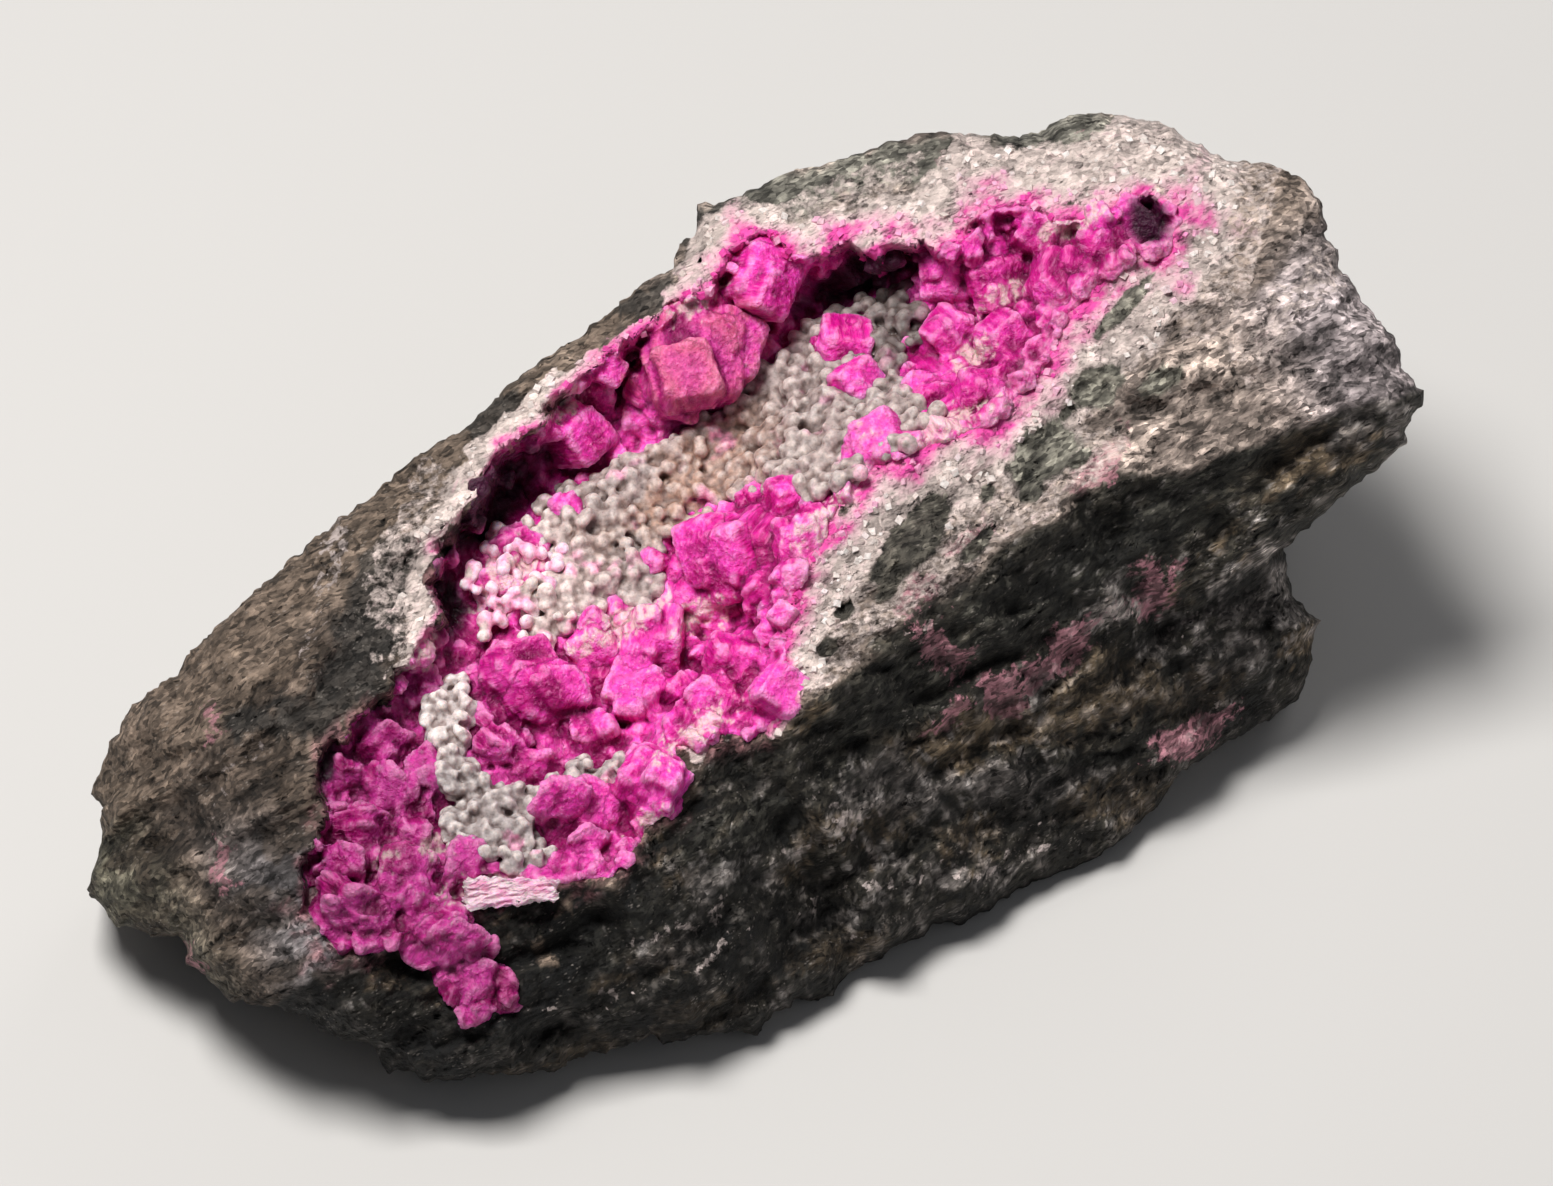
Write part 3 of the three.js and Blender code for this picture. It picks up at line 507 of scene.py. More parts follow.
def hidden_faces(front_index, far_index):
    """Faces of the far sheet, twice as wide, with the outline's in-between points taken in."""
    faces = []
    last_i, last_j = far_index.shape[0] - 2, far_index.shape[1] - 2
    inner = grid_squares(far_index[1:-1, 1:-1])[:, ::-1]
    for i in range(last_i + 1):
        for j in (range(last_j + 1) if i in (0, last_i) else (0, last_j)):
            loop = [far_index[i, j]]
            if i == 0:
                loop.append(front_index[0, 2 * j + 1])
            loop.append(far_index[i, j + 1])
            if j == last_j:
                loop.append(front_index[2 * i + 1, -1])
            loop.append(far_index[i + 1, j + 1])
            if i == last_i:
                loop.append(front_index[-1, 2 * j + 1])
            loop.append(far_index[i + 1, j])
            if j == 0:
                loop.append(front_index[2 * i + 1, 0])
            faces.append([int(point) for point in loop])
    return inner.tolist() + faces


def new_piece(name, points, faces, flat=False):
    """Mesh object from show-face points in metres; it rides on the one body."""
    mesh = bpy.data.meshes.new(name)
    mesh.from_pydata(points.reshape(-1, 3).tolist(), [], faces)
    mesh.update()
    if flat:
        mesh.shade_flat()
    else:
        mesh.shade_smooth()
    piece = bpy.data.objects.new(name, mesh)
    bpy.context.scene.collection.objects.link(piece)
    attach(piece, "root")
    return piece


def add_values(piece, name, values):
    """Store one number or one colour per point, for the material to read."""
    values = np.asarray(values, dtype=float)
    if values.ndim == 1:
        layer = piece.data.attributes.new(name, "FLOAT", "POINT")
        layer.data.foreach_set("value", values)
        return
    layer = piece.data.attributes.new(name, "FLOAT_VECTOR", "POINT")
    layer.data.foreach_set("vector", values.ravel())


def both_sheets(front, far):
    """Values of every point of the front sheet, then of every second inner point of the far one."""
    inner_far = far[::2, ::2][1:-1, 1:-1]
    return np.concatenate([sheet.reshape(-1, *sheet.shape[2:]) for sheet in (front, inner_far)])


def blurred(grid, reach):
    """Grid whose every value is the mean of its neighbours within reach, along both axes."""
    for axis in (0, 1):
        edged = np.pad(grid, [(reach, reach) if k == axis else (0, 0) for k in (0, 1)], mode="edge")
        window = np.lib.stride_tricks.sliding_window_view(edged, 2 * reach + 1, axis=axis)
        grid = window.mean(axis=-1)
    return grid


stone_a, stone_b, stone_full = face_grid(*STONE_STEPS)
stone_a = stone_a + 0.35 * crags(flat_points(stone_a, stone_b), 1.6, 3, 71)
stone_b = stone_b + 0.35 * crags(flat_points(stone_a, stone_b), 1.5, 3, 75)
surface = plain_front(stone_a, stone_b)
thickness = soft_max(surface - hidden_side(stone_a, stone_b), LEAST_THICKNESS, 3)
stone_edge = surface - EDGE_SHARE * thickness
stone_relief = front_relief(stone_a, stone_b)
front_w = stone_edge + stone_full * (EDGE_SHARE * thickness + stone_relief)
far_relief = 0.9 * crags(flat_points(stone_a + 90, stone_b, 1.6), 5, 5, 81, creased=True)
far_relief = far_relief + 2.0 * broken_faces(stone_a * 0.7, stone_b, 8, 0.9, 85)
far_relief = far_relief + 0.9 * broken_faces(stone_a * 0.7, stone_b, 3, 1.0, 87)
far_base = stone_edge - stone_full * (1 - EDGE_SHARE) * thickness
inner = smooth(0.8, 1.0, stone_full)
far_w = far_base + inner * (blurred(far_base, FAR_BLUR) - far_base) + stone_full * far_relief
far_w = np.minimum(far_w, front_w - SHEET_GAP * smooth(0.2, 0.8, stone_full))
front_index = np.arange(stone_a.size).reshape(stone_a.shape)
far_index = front_index[::2, ::2].copy()
inner_shape = far_index[1:-1, 1:-1].shape
far_index[1:-1, 1:-1] = stone_a.size + np.arange(np.prod(inner_shape)).reshape(inner_shape)
stone_points = both_sheets(to_frame(np.stack([stone_a, stone_b, front_w], axis=-1)),
                           to_frame(np.stack([stone_a, stone_b, far_w], axis=-1)))
stone_points[:, 2] = np.maximum(stone_points[:, 2], 0)
stone_faces = grid_squares(front_index).tolist() + hidden_faces(front_index, far_index)
stone = new_piece("host_rock_broken_surface", stone_points, stone_faces)
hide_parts("host_rock")

# Highest point of the far sheet in and round each square millimetre of the show face.

CELL_COUNTS = (160, 100)
CELL_MIDDLE = (80, 50)
KEPT_WITHIN = 0.5


def cells_at(a, b):
    """Column and row of the square millimetre that each place lies in."""
    return [np.clip(np.round(place + middle).astype(int), 0, count - 1)
            for place, middle, count in zip((a, b), CELL_MIDDLE, CELL_COUNTS)]


far_cells = np.full(CELL_COUNTS, -99.0)
np.maximum.at(far_cells, tuple(cells_at(stone_a, stone_b)), far_w)
far_cells = np.max([np.roll(far_cells, (i, j), (0, 1)) for i in (-1, 0, 1) for j in (-1, 0, 1)], axis=0)


def kept_inside(points):
    """Points lifted to be within the stone's far sheet, by its highest point near each of them."""
    lifted = points.copy()
    lifted[:, 2] = np.maximum(lifted[:, 2], far_cells[tuple(cells_at(*points[:, :2].T))] + KEPT_WITHIN)
    return lifted


# Colours of the stone, as light that it gives back in red, green and blue.

UPPER_BROWN = (0.088, 0.066, 0.052)
UPPER_PALE = (0.320, 0.256, 0.222)
LILAC_GREY = (0.245, 0.208, 0.210)
TIP_OLIVE = (0.092, 0.088, 0.064)
TIP_GREY = (0.165, 0.152, 0.158)
CAP_GREY = (0.150, 0.142, 0.120)
UMBER = (0.058, 0.042, 0.031)
FRONT_BLACK = (0.026, 0.023, 0.018)
FRONT_BROWN = (0.088, 0.064, 0.041)
FRONT_GREY = (0.130, 0.114, 0.108)
FLECK_GREY = (0.190, 0.168, 0.158)
CHUNK_BLACK = (0.024, 0.023, 0.019)
WEB_PALE = (0.270, 0.245, 0.235)
SKIN_TAN = (0.180, 0.134, 0.102)
PATCH_DARK = (0.036, 0.033, 0.030)
CLAST_DARK = (0.062, 0.056, 0.046)
CLAST_OLIVE = (0.180, 0.170, 0.140)
DUSTY_PINK = (0.330, 0.140, 0.160)
FAR_BROWN = (0.105, 0.092, 0.078)
CALCITE_WHITE = (0.84, 0.70, 0.65)
CALCITE_FLUSHED = (0.80, 0.49, 0.56)
CALCITE_PINK = (0.80, 0.08, 0.38)
# White of mineral flecks and of painted glints on the stone.
FLECK_AND_GLINT_WHITE = (0.50, 0.44, 0.40)
VEIN_WHITE = (0.50, 0.42, 0.40)
STAIN_PINK = (0.50, 0.22, 0.27)


def stone_colours(a, b, fields):
    """Colour of the bare stone: brown-grey left, lilac-grey right, near-black front, old skins.

    Colours are mixed by shares that run along the stone or lie in ovals, and multiplied by e to
    the power of the crags."""
    spots = crags(flat_points(a, b), 1.1, 4, 101)
    streaks = crags(flat_points(a, b, 4.0), 1.0, 3, 105)
    drawn = flat_points(a, b, 2.0)
    cloud = crags(drawn, 6.0, 4, 111)
    warp_a = a + 1.3 * crags(flat_points(a, b), 2.6, 4, 121)
    warp_b = b + 1.0 * crags(flat_points(a, b), 2.4, 4, 131)
    upper = mix(UPPER_BROWN, UPPER_PALE, smooth(-16, 38, a))
    upper = mix(upper, LILAC_GREY, smooth(46, 56, a) * smooth(8, 0, b))
    upper = mix(upper, TIP_OLIVE, smooth(-55, -62, a) * 0.8)
    left_grey = smooth(6, -4, b + 0.5 * (a + 44)) * smooth(-57, -50, a) * smooth(-30, -40, a)
    upper = mix(upper, TIP_GREY, left_grey * 0.85)
    upper = mix(upper, CAP_GREY, smooth(0.3, 0.6, in_ovals(warp_a, warp_b, GREY_CAP)))
    tone = 1.1 * cloud + 0.35 * spots + 0.7 * streaks
    upper = upper * np.exp(np.clip(tone, -1.2, 0.8))[..., None]
    umber = smooth(0.12, 0.3, crags(drawn, 4.0, 4, 113)) * smooth(4, -14, a)
    upper = mix(upper, UMBER, umber * 0.6)
    brown = np.maximum(in_ovals(warp_a, warp_b, BROWN_PATCHES), 0.55 * smooth(0.1, 0.6, cloud))
    front = mix(FRONT_BLACK, FRONT_BROWN, smooth(0.38, 0.56, brown + 0.15 * spots) * 0.8)
    grey = in_ovals(warp_a, warp_b, GREY_PATCHES) + 0.3 * streaks + 0.25 * spots
    front = mix(front, FRONT_GREY, smooth(0.48, 0.68, grey) * 0.6)
    chunk = smooth(0.4, 0.55, in_ovals(warp_a, warp_b, DARK_CHUNKS) + 0.1 * spots)
    flecked = smooth(0.5, 0.8, spots + 0.6 * streaks + 0.3 * smooth(-14, -24, b)) * (1 - chunk)
    front = mix(front, FLECK_GREY, flecked * 0.3)
    front = mix(front, CHUNK_BLACK, chunk * 0.8)
    webs = thin_lines(warp_a, warp_b, 4.2, 1.4, 0.11, 147) * smooth(0.1, 0.45, grey)
    front = mix(front, WEB_PALE, webs * smooth(-0.5, 0.2, spots) * 0.6)
    tone = 0.85 * cloud + 0.6 * spots + 0.55 * streaks
    front = front * np.exp(np.clip(tone, -1.5, 0.95))[..., None]
    front = front * (0.33 + 0.82 * smooth(-30, 0, a))[..., None]
    front = front * (1 - 0.4 * smooth(-24, -30, b))[..., None]
    colour = mix(front, upper, fields["above"])
    tan = smooth(0.25, 0.55, on_lines(warp_a, warp_b, TAN_SKINS))
    dark = smooth(0.35, 0.55, on_lines(warp_a, warp_b, DARK_PATCHES))
    colour = mix(mix(colour, SKIN_TAN, tan * 0.6), PATCH_DARK, dark * 0.85)
    clast = mix(CLAST_DARK, CLAST_OLIVE, smooth(18, 26, a + 4 * spots))
    clast = clast * np.exp(np.clip(1.1 * spots + 0.8 * streaks, -0.9, 0.7))[..., None]
    colour = mix(colour, DUSTY_PINK, fields["dusty"] * smooth(-0.5, 0.4, spots) * 0.5)
    colour = mix(colour, clast, smooth(0.42, 0.46, fields["clast"]))
    return colour * (0.95 - 0.6 * stone_cracks(a, b))[..., None]


fields = stone_fields(stone_a, stone_b)
front_colour = stone_colours(stone_a, stone_b, fields)
# Painted shade in creases and painted light on ridges: how far each point lies below or above the mean
# height of its neighbours.
relief_shade_and_light = (front_w - blurred(front_w, 3)) / 0.35 + (front_w - blurred(front_w, 9)) / 1.3
relief_shade_and_light = np.clip(relief_shade_and_light, -1.5, 1.2) * smooth(0.3, 0.9, stone_full) * (1 - 0.55 * fields["above"])
far_cloud = crags(flat_points(stone_a + 90, stone_b, 1.6), 6, 5, 141)
far_colour = np.array(FAR_BROWN) * np.exp(np.clip(1.6 * far_cloud, -1.0, 0.8))[..., None]
edge_share = smooth(0.0, 0.5, stone_full)
stone_colour = both_sheets(front_colour, mix(front_colour, far_colour, edge_share))
add_values(stone, "stone_colour", np.clip(stone_colour, 0.004, 1))
for field in ("calcite", "clast", "vein", "stain", "flush"):
    add_values(stone, field, both_sheets(fields[field], fields[field] * (1 - edge_share)))
add_values(stone, "relief_shade_and_light", both_sheets(relief_shade_and_light, relief_shade_and_light * (1 - edge_share)))
near_grain, far_grain = [np.stack([stone_a / STONE_DRAW, stone_b, w], axis=-1) for w in (front_w, far_w)]
add_values(stone, "along_grain", both_sheets(near_grain, far_grain) / 1000)


def grain_group():
    """Node group: mottle, speckle, tilted facets and grain tone, so many grains a metre of a place.

    A facet's height is (cell colour - 0.5) . (place - cell middle), so each grain has a flat top."""
    group = bpy.data.node_groups.new("Mineral grain", "ShaderNodeTree")
    group.interface.new_socket("Place", in_out="INPUT", socket_type="NodeSocketVector")
    group.interface.new_socket("Grains per metre", in_out="INPUT", socket_type="NodeSocketFloat")
    for name in ("Mottle", "Speckle", "Facets", "Grain tone"):
        group.interface.new_socket(name, in_out="OUTPUT", socket_type="NodeSocketFloat")
    nodes, links = group.nodes, group.links
    given = nodes.new("NodeGroupInput")
    result = nodes.new("NodeGroupOutput")
    mottle = nodes.new("ShaderNodeTexNoise")
    mottle.inputs["Detail"].default_value = 5
    mottle.inputs["Roughness"].default_value = 0.65
    cells = nodes.new("ShaderNodeTexVoronoi")
    finer_cells = nodes.new("ShaderNodeTexVoronoi")
    finer = nodes.new("ShaderNodeMath")
    finer.operation = "MULTIPLY"
    finer.inputs[1].default_value = 2.6
    speckle = nodes.new("ShaderNodeMapRange")
    for key, value in (("From Min", 0.16), ("From Max", 0.34), ("To Min", 1), ("To Max", 0)):
        speckle.inputs[key].default_value = value
    tone = nodes.new("ShaderNodeSeparateColor")
    away, lean, plane = [nodes.new("ShaderNodeVectorMath") for _ in range(3)]
    away.operation = lean.operation = "SUBTRACT"
    plane.operation = "DOT_PRODUCT"
    lean.inputs[1].default_value = (0.5, 0.5, 0.5)
    facets = nodes.new("ShaderNodeMath")
    facets.operation = "MULTIPLY"
    per_metre = given.outputs["Grains per metre"]
    links.new(per_metre, mottle.inputs["Scale"])
    links.new(per_metre, finer.inputs[0])
    links.new(finer.outputs[0], finer_cells.inputs["Scale"])
    links.new(per_metre, cells.inputs["Scale"])
    for texture in (mottle, cells, finer_cells):
        links.new(given.outputs["Place"], texture.inputs["Vector"])
    links.new(finer_cells.outputs["Distance"], speckle.inputs["Value"])
    links.new(cells.outputs["Color"], tone.inputs["Color"])
    links.new(mottle.outputs["Fac"], result.inputs["Mottle"])
    links.new(speckle.outputs["Result"], result.inputs["Speckle"])
    links.new(given.outputs["Place"], away.inputs[0])
    links.new(cells.outputs["Position"], away.inputs[1])
    links.new(cells.outputs["Color"], lean.inputs[0])
    links.new(away.outputs["Vector"], plane.inputs[0])
    links.new(lean.outputs["Vector"], plane.inputs[1])
    links.new(plane.outputs["Value"], facets.inputs[0])
    links.new(per_metre, facets.inputs[1])
    links.new(facets.outputs[0], result.inputs["Facets"])
    links.new(tone.outputs["Red"], result.inputs["Grain tone"])
    return group


GRAIN = grain_group()


class Finish:
    """A material on its way: its nodes, its shader and short ways to add and join nodes."""

    def __init__(self, name):
        """New material by that name, with nothing joined to its shader yet."""
        self.material = bpy.data.materials.new(name)
        self.material.use_nodes = True
        self.nodes = self.material.node_tree.nodes
        self.links = self.material.node_tree.links
        self.shader = self.nodes["Principled BSDF"]

    def add(self, kind, **settings):
        """New node of a kind, with its settings."""
        node = self.nodes.new(kind)
        for key, value in settings.items():
            setattr(node, key, value)
        return node

    def grain(self, per_metre, place=None):
        """The mineral grain group, on object coordinates or on a place stored with the piece."""
        node = self.add("ShaderNodeGroup", node_tree=GRAIN)
        node.inputs["Grains per metre"].default_value = per_metre
        if place is None:
            place = self.add("ShaderNodeTexCoord").outputs["Object"]
        self.links.new(place, node.inputs["Place"])
        return node.outputs

    def stored(self, name):
        """Outputs of a node that reads the values stored under a name, one per point of the piece."""
        node = self.add("ShaderNodeAttribute", attribute_name=name)
        return node.outputs

    def span(self, source, low, high, to_low, to_high):
        """A value's range moved to another range, held at its ends."""
        node = self.add("ShaderNodeMapRange")
        for key, value in zip(("From Min", "From Max", "To Min", "To Max"), (low, high, to_low, to_high)):
            node.inputs[key].default_value = value
        self.links.new(source, node.inputs["Value"])
        return node.outputs["Result"]

    def times(self, first, second):
        """Product of two values."""
        node = self.add("ShaderNodeMath", operation="MULTIPLY")
        self.links.new(first, node.inputs[0])
        self.links.new(second, node.inputs[1])
        return node.outputs[0]

    def ragged(self, mask, noise, raggedness, edge=0.5, softness=0.06):
        """A soft mask cut at its edge value, with the cut made ragged by noise."""
        node = self.add("ShaderNodeMath", operation="MULTIPLY_ADD")
        self.links.new(noise, node.inputs[0])
        node.inputs[1].default_value = raggedness
        self.links.new(mask, node.inputs[2])
        middle = edge + raggedness / 2
        return self.span(node.outputs[0], middle - softness, middle + softness, 0, 1)

    def blend(self, kind, share, first, second):
        """Mix of two colours by Blender's named way; each may be a value, a colour or a socket."""
        node = self.add("ShaderNodeMix", data_type="RGBA", blend_type=kind)
        for name, value in (("Factor", share), ("A", first), ("B", second)):
            socket = next(s for s in node.inputs if s.name == name and s.enabled)
            if isinstance(value, bpy.types.NodeSocket):
                self.links.new(value, socket)
            elif name == "Factor":
                socket.default_value = value
            else:
                socket.default_value = (*value, 1)
        return next(s for s in node.outputs if s.enabled)

    def toned(self, colour, source, low, high, darkest, lightest):
        """Colour times a value whose range is moved to run from darkest to lightest."""
        return self.blend("MULTIPLY", 1.0, colour, self.span(source, low, high, darkest, lightest))

    def bump(self, height, distance, after=None):
        """Normal raised by a height map, on top of an earlier normal."""
        node = self.add("ShaderNodeBump")
        node.inputs["Distance"].default_value = distance
        self.links.new(height, node.inputs["Height"])
        if after:
            self.links.new(after, node.inputs["Normal"])
        return node.outputs["Normal"]


rock = Finish("Schist with calcite bands")
along = rock.stored("along_grain")["Vector"]
coarse, middling, fine = rock.grain(450, along), rock.grain(1200, along), rock.grain(2600, along)
round_grain = rock.grain(1300)
bare = rock.toned(rock.stored("stone_colour")["Color"], coarse["Mottle"], 0.36, 0.64, 0.85, 1.18)
bare = rock.toned(bare, middling["Mottle"], 0.38, 0.62, 0.75, 1.3)
bare = rock.toned(bare, middling["Grain tone"], 0, 1, 0.7, 1.3)
bare = rock.toned(bare, fine["Grain tone"], 0, 1, 0.35, 1.75)
# White mineral flecks and painted glints, in specks on grains of a narrow tone.
flecks_and_glints = rock.times(middling["Speckle"], rock.span(middling["Grain tone"], 0.72, 0.76, 0, 1))
bare = rock.blend("MIX", rock.span(flecks_and_glints, 0.0, 1.0, 0.0, 0.22), bare, FLECK_AND_GLINT_WHITE)
calcite = rock.toned(CALCITE_WHITE, fine["Grain tone"], 0, 1, 0.8, 1.1)
calcite = rock.toned(calcite, round_grain["Grain tone"], 0, 1, 0.66, 1.14)
calcite = rock.toned(calcite, middling["Mottle"], 0.36, 0.64, 0.68, 1.18)
flush = rock.stored("flush")["Fac"]
flushed, reddened = [rock.ragged(flush, middling["Mottle"], 1.0, edge, softness)
                     for edge, softness in ((0.3, 0.25), (0.75, 0.2))]
calcite = rock.blend("MIX", flushed, calcite, CALCITE_FLUSHED)
calcite = rock.blend("MIX", reddened, calcite, CALCITE_PINK)
vein_mask = rock.ragged(rock.stored("vein")["Fac"], round_grain["Mottle"], 1.8, 0.62, 0.1)
vein_mask = rock.times(vein_mask, rock.span(fine["Grain tone"], 0.1, 0.7, 0.35, 0.95))
stained = rock.blend("MIX", vein_mask, bare, VEIN_WHITE)
stain_mask = rock.ragged(rock.stored("stain")["Fac"], round_grain["Mottle"], 1.2, 0.52, 0.06)
stain_mask = rock.times(stain_mask, rock.span(fine["Grain tone"], 0.2, 0.8, 0.25, 0.85))
stained = rock.blend("MIX", stain_mask, stained, STAIN_PINK)
calcite_mask = rock.ragged(rock.stored("calcite")["Fac"], round_grain["Mottle"], 0.45, 0.48, 0.05)
clast_mask = rock.ragged(rock.stored("clast")["Fac"], round_grain["Mottle"], 0.4, 0.5, 0.04)
relief_shade_and_light_share = rock.stored("relief_shade_and_light")["Fac"]
stained = rock.blend("MIX", clast_mask, stained, bare)
# Painted shade in creases and painted light on ridges, on the bare stone and on the calcite.
stained = rock.toned(stained, relief_shade_and_light_share, -1.5, 1.2, 0.25, 1.55)
calcite = rock.toned(calcite, relief_shade_and_light_share, -0.8, 0.6, 0.5, 1.15)
calcite_share = rock.times(calcite_mask, rock.span(clast_mask, 0, 1, 1, 0))
rock.links.new(rock.blend("MIX", calcite_share, stained, calcite), rock.shader.inputs["Base Color"])
rock.links.new(rock.span(calcite_share, 0.0, 1.0, 0.75, 0.48), rock.shader.inputs["Roughness"])
relief = rock.bump(coarse["Facets"], 0.0014)
relief = rock.bump(middling["Facets"], 0.0008, relief)
relief = rock.bump(fine["Facets"], 0.0004, relief)
relief = rock.bump(round_grain["Facets"], 0.0006, relief)
rock.links.new(rock.bump(fine["Mottle"], 0.0003, relief), rock.shader.inputs["Normal"])
rock.shader.inputs["Specular IOR Level"].default_value = 0.3
stone.data.materials.append(rock.material)


# The pink crust. Cobalt-bearing calcite grown over the wall of the hollow: a thin lumpy lining that
# carries blunt rhombohedral crystals, the larger ones built of several that grew nearly parallel,
# all grown into one skin. It is made in three reaches that overlap, and has a cleaved pale slab at its
# front edge.

CRUST_VOXEL = 0.245
LINING_STEP = 0.4
LINING_UNDER = 0.9
FIBRE_DRAW = np.array([0.3, 2.0, 2.0])
CRYSTAL_HALF = 0.40
LARGE_CRYSTAL = 2.2
SMALL_SPACING = 1.5
OVERLAP = 1.0
REACHES = (("left", -99.0, -13.0), ("middle", -15.0, 10.0), ("right", 8.0, 99.0))

CRUST_MAGENTA = (0.740, 0.010, 0.310)
CRUST_BRIGHT = (0.980, 0.060, 0.520)
# Painted shade in the clefts and creases of the crust.
CLEFT_SHADE_DEEP = (0.330, 0.003, 0.120)
CREASE_SHADE_DARKEST = (0.220, 0.002, 0.080)
SILKY_PINK = (0.960, 0.180, 0.540)
# Frost and painted highlight on the crust's edges.
FROST_AND_HIGHLIGHT_PINK = (0.980, 0.330, 0.660)
PEACH = (0.950, 0.250, 0.340)
BLEACHED_PINK = (0.930, 0.440, 0.640)
BLEACHED_CREAM = (0.900, 0.730, 0.640)
# Painted sheen along the fibres.
FIBRE_SHEEN = (0.99, 0.36, 0.68)
SLAB_PALE = (0.930, 0.640, 0.740)
SLAB_PINK = (0.860, 0.280, 0.520)

# Outlines of the two patches that globules cover, of the tail and of the whole crust, in face mm.

LOWER_PATCH = np.array([
    (-31.5, 7.2), (-26.5, 7.8), (-27, 5), (-29, 3), (-29.5, 0), (-28.8, -3), (-27, -4), (-22, -4.6),
    (-17, -6), (-17.5, -8), (-22, -7), (-27, -7.5), (-28, -10), (-30, -11.2), (-32, -8), (-35, -5.4),
    (-35, -3.4), (-33, -2), (-32.5, 2),
])
UPPER_PATCH = np.array([
    (-13, 17.5), (-4, 17.3), (2, 16.8), (8, 18), (12, 18.5), (19, 19.5), (25.5, 18.5), (26, 15),
    (24, 12.5), (21, 12), (22, 8), (24, 6), (20, 5.6), (14, 5.8), (9, 5), (8, 7.5), (2, 9.5),
    (-5, 8.8), (-6, 6.2), (-9, 4.6), (-12, 6.2), (-19, 5.8), (-20.5, 8), (-18, 11), (-15, 12),
])
TAIL = np.array([(-35.5, -10), (-36.4, -12.5), (-36, -18), (-36.6, -21.2), (-41.6, -20), (-42.8, -12)])
CRUST_OUTLINE = np.concatenate([UPPER_RIM, LOWER_RIM[3:][::-1], TAIL, [(-45, -10.2), (-48.6, -8.6)]])

# The larger crystals: middle on the face, width, lean, the way they lean and spin, in mm and degrees.

CRYSTALS = np.array([
    (5.5, 22, 11, 36, 195, 60), (8.5, 24, 7, 20, 40, 70), (2, 20.5, 6.5, 55, 210, 10),
    (-7, 21.2, 6, 60, 260, 15), (-3.3, 23.8, 4, 30, 150, 0), (-1.5, 19.5, 3.6, 40, 300, 40),
    (14.5, 25, 7.5, 62, 280, 25), (11.5, 23.5, 5, 45, 230, 60), (22, 22.6, 5, 55, 265, 5),
    (18, 16, 6, 30, 120, 30), (17.5, 12.6, 5, 58, 265, 20), (16.5, 7, 6, 35, 320, 45),
    (6.5, 6.8, 4, 30, 200, 80), (5.5, 3, 5, 40, 120, 50), (0, 4.5, 9, 28, 70, 15),
    (-3.5, 2.5, 6, 40, 180, 35), (-7, 8, 3.4, 40, 90, 5), (-11, 15.5, 3.8, 50, 310, 65),
    (-17, 15, 4.4, 35, 250, 20), (-20, 13, 4, 45, 200, 75), (-22, 2.5, 8.5, 34, 230, 30),
    (-15, 4.2, 5, 30, 60, 55), (-10, 1.5, 6.5, 42, 140, 10), (-14, -1.5, 6, 28, 280, 40),
    (-26.5, 0, 5, 50, 190, 25), (-25, -3, 4.5, 35, 270, 60), (-19, -3, 4.6, 44, 330, 15),
    (-24, -9, 8.5, 36, 255, 35), (-17, -9.5, 7, 30, 300, 5), (-5, -4, 6.5, 40, 100, 50),
    (-2.5, -8, 5.5, 50, 270, 30), (-8, -6, 5, 34, 220, 70), (-33.5, 1.5, 4.8, 36, 340, 20),
    (-37.5, 2, 5.4, 44, 160, 45), (-41, 0, 5.4, 38, 240, 0), (-44, -1.8, 4.6, 50, 200, 65),
    (-40, -6.5, 6.5, 32, 290, 35), (-45, -6, 6.5, 46, 225, 15), (-37.5, -2.5, 4, 30, 100, 55),
    (-34.5, -7.5, 5, 42, 310, 25), (-35.5, 5.5, 5.2, 48, 260, 40), (-40, 5, 4.4, 55, 210, 10),
    (-39, -12.5, 5.5, 40, 260, 30), (-39.2, -17, 5.2, 48, 275, 60), (-30, 9, 4, 45, 240, 20),
    (27, 12, 5.5, 38, 190, 15), (31, 9.5, 5, 30, 150, 50), (33, 14, 5.6, 44, 230, 30),
    (29, 16.5, 5, 36, 280, 70), (37.5, 12, 5.4, 32, 120, 5), (38, 16, 4.8, 48, 260, 45),
    (26, 6.5, 4.6, 40, 110, 35), (42.5, 12.5, 4.2, 36, 200, 20), (46.5, 12, 3.6, 50, 240, 55),
])

# Places where the crust is bleached, where deep shade is painted on it, the slab and the peach crystal.

BLEACHED = np.array([
    (-18, 13.5, 4.2, 3.0, 0), (-12, 4.5, 3.6, 1.4, 0), (-6.5, 24.5, 3.0, 1.6, 20),
    (22, 5, 5.0, 1.4, 0), (8, 26.2, 2.6, 1.3, 0), (-33, -11.2, 4.5, 1.6, -30),
    (-40, -3.3, 1.8, 1.1, 0), (-36, -4.2, 1.4, 0.9, 0), (-10.5, -7.2, 4.2, 1.3, 10),
    (-18.5, -12.4, 1.8, 1.1, 0), (33, 13, 2.4, 1.2, 0), (41, 15.5, 3.5, 1.4, 0),
    (-5, 1.5, 3.0, 1.2, 0), (28, 9.5, 2.0, 1.0, 0), (9, 3.8, 4.0, 1.2, 15), (-28, 11, 2.0, 1.0, 40),
])
SHADED_RECESSES = np.array([
    (-16.5, 19.8, 6.5, 2.8, 18), (23.5, 20.8, 6.0, 1.8, -4), (47.6, 12, 1.9, 1.7, 0),
    (-24.5, 14, 1.8, 3.2, -10), (-41.5, 6.8, 2.0, 1.0, 40),
])
SLAB_PLACE, SLAB_HALF = np.array([-32.3, -11.4, 0.0]), np.array([3.9, 1.1, 0.8])
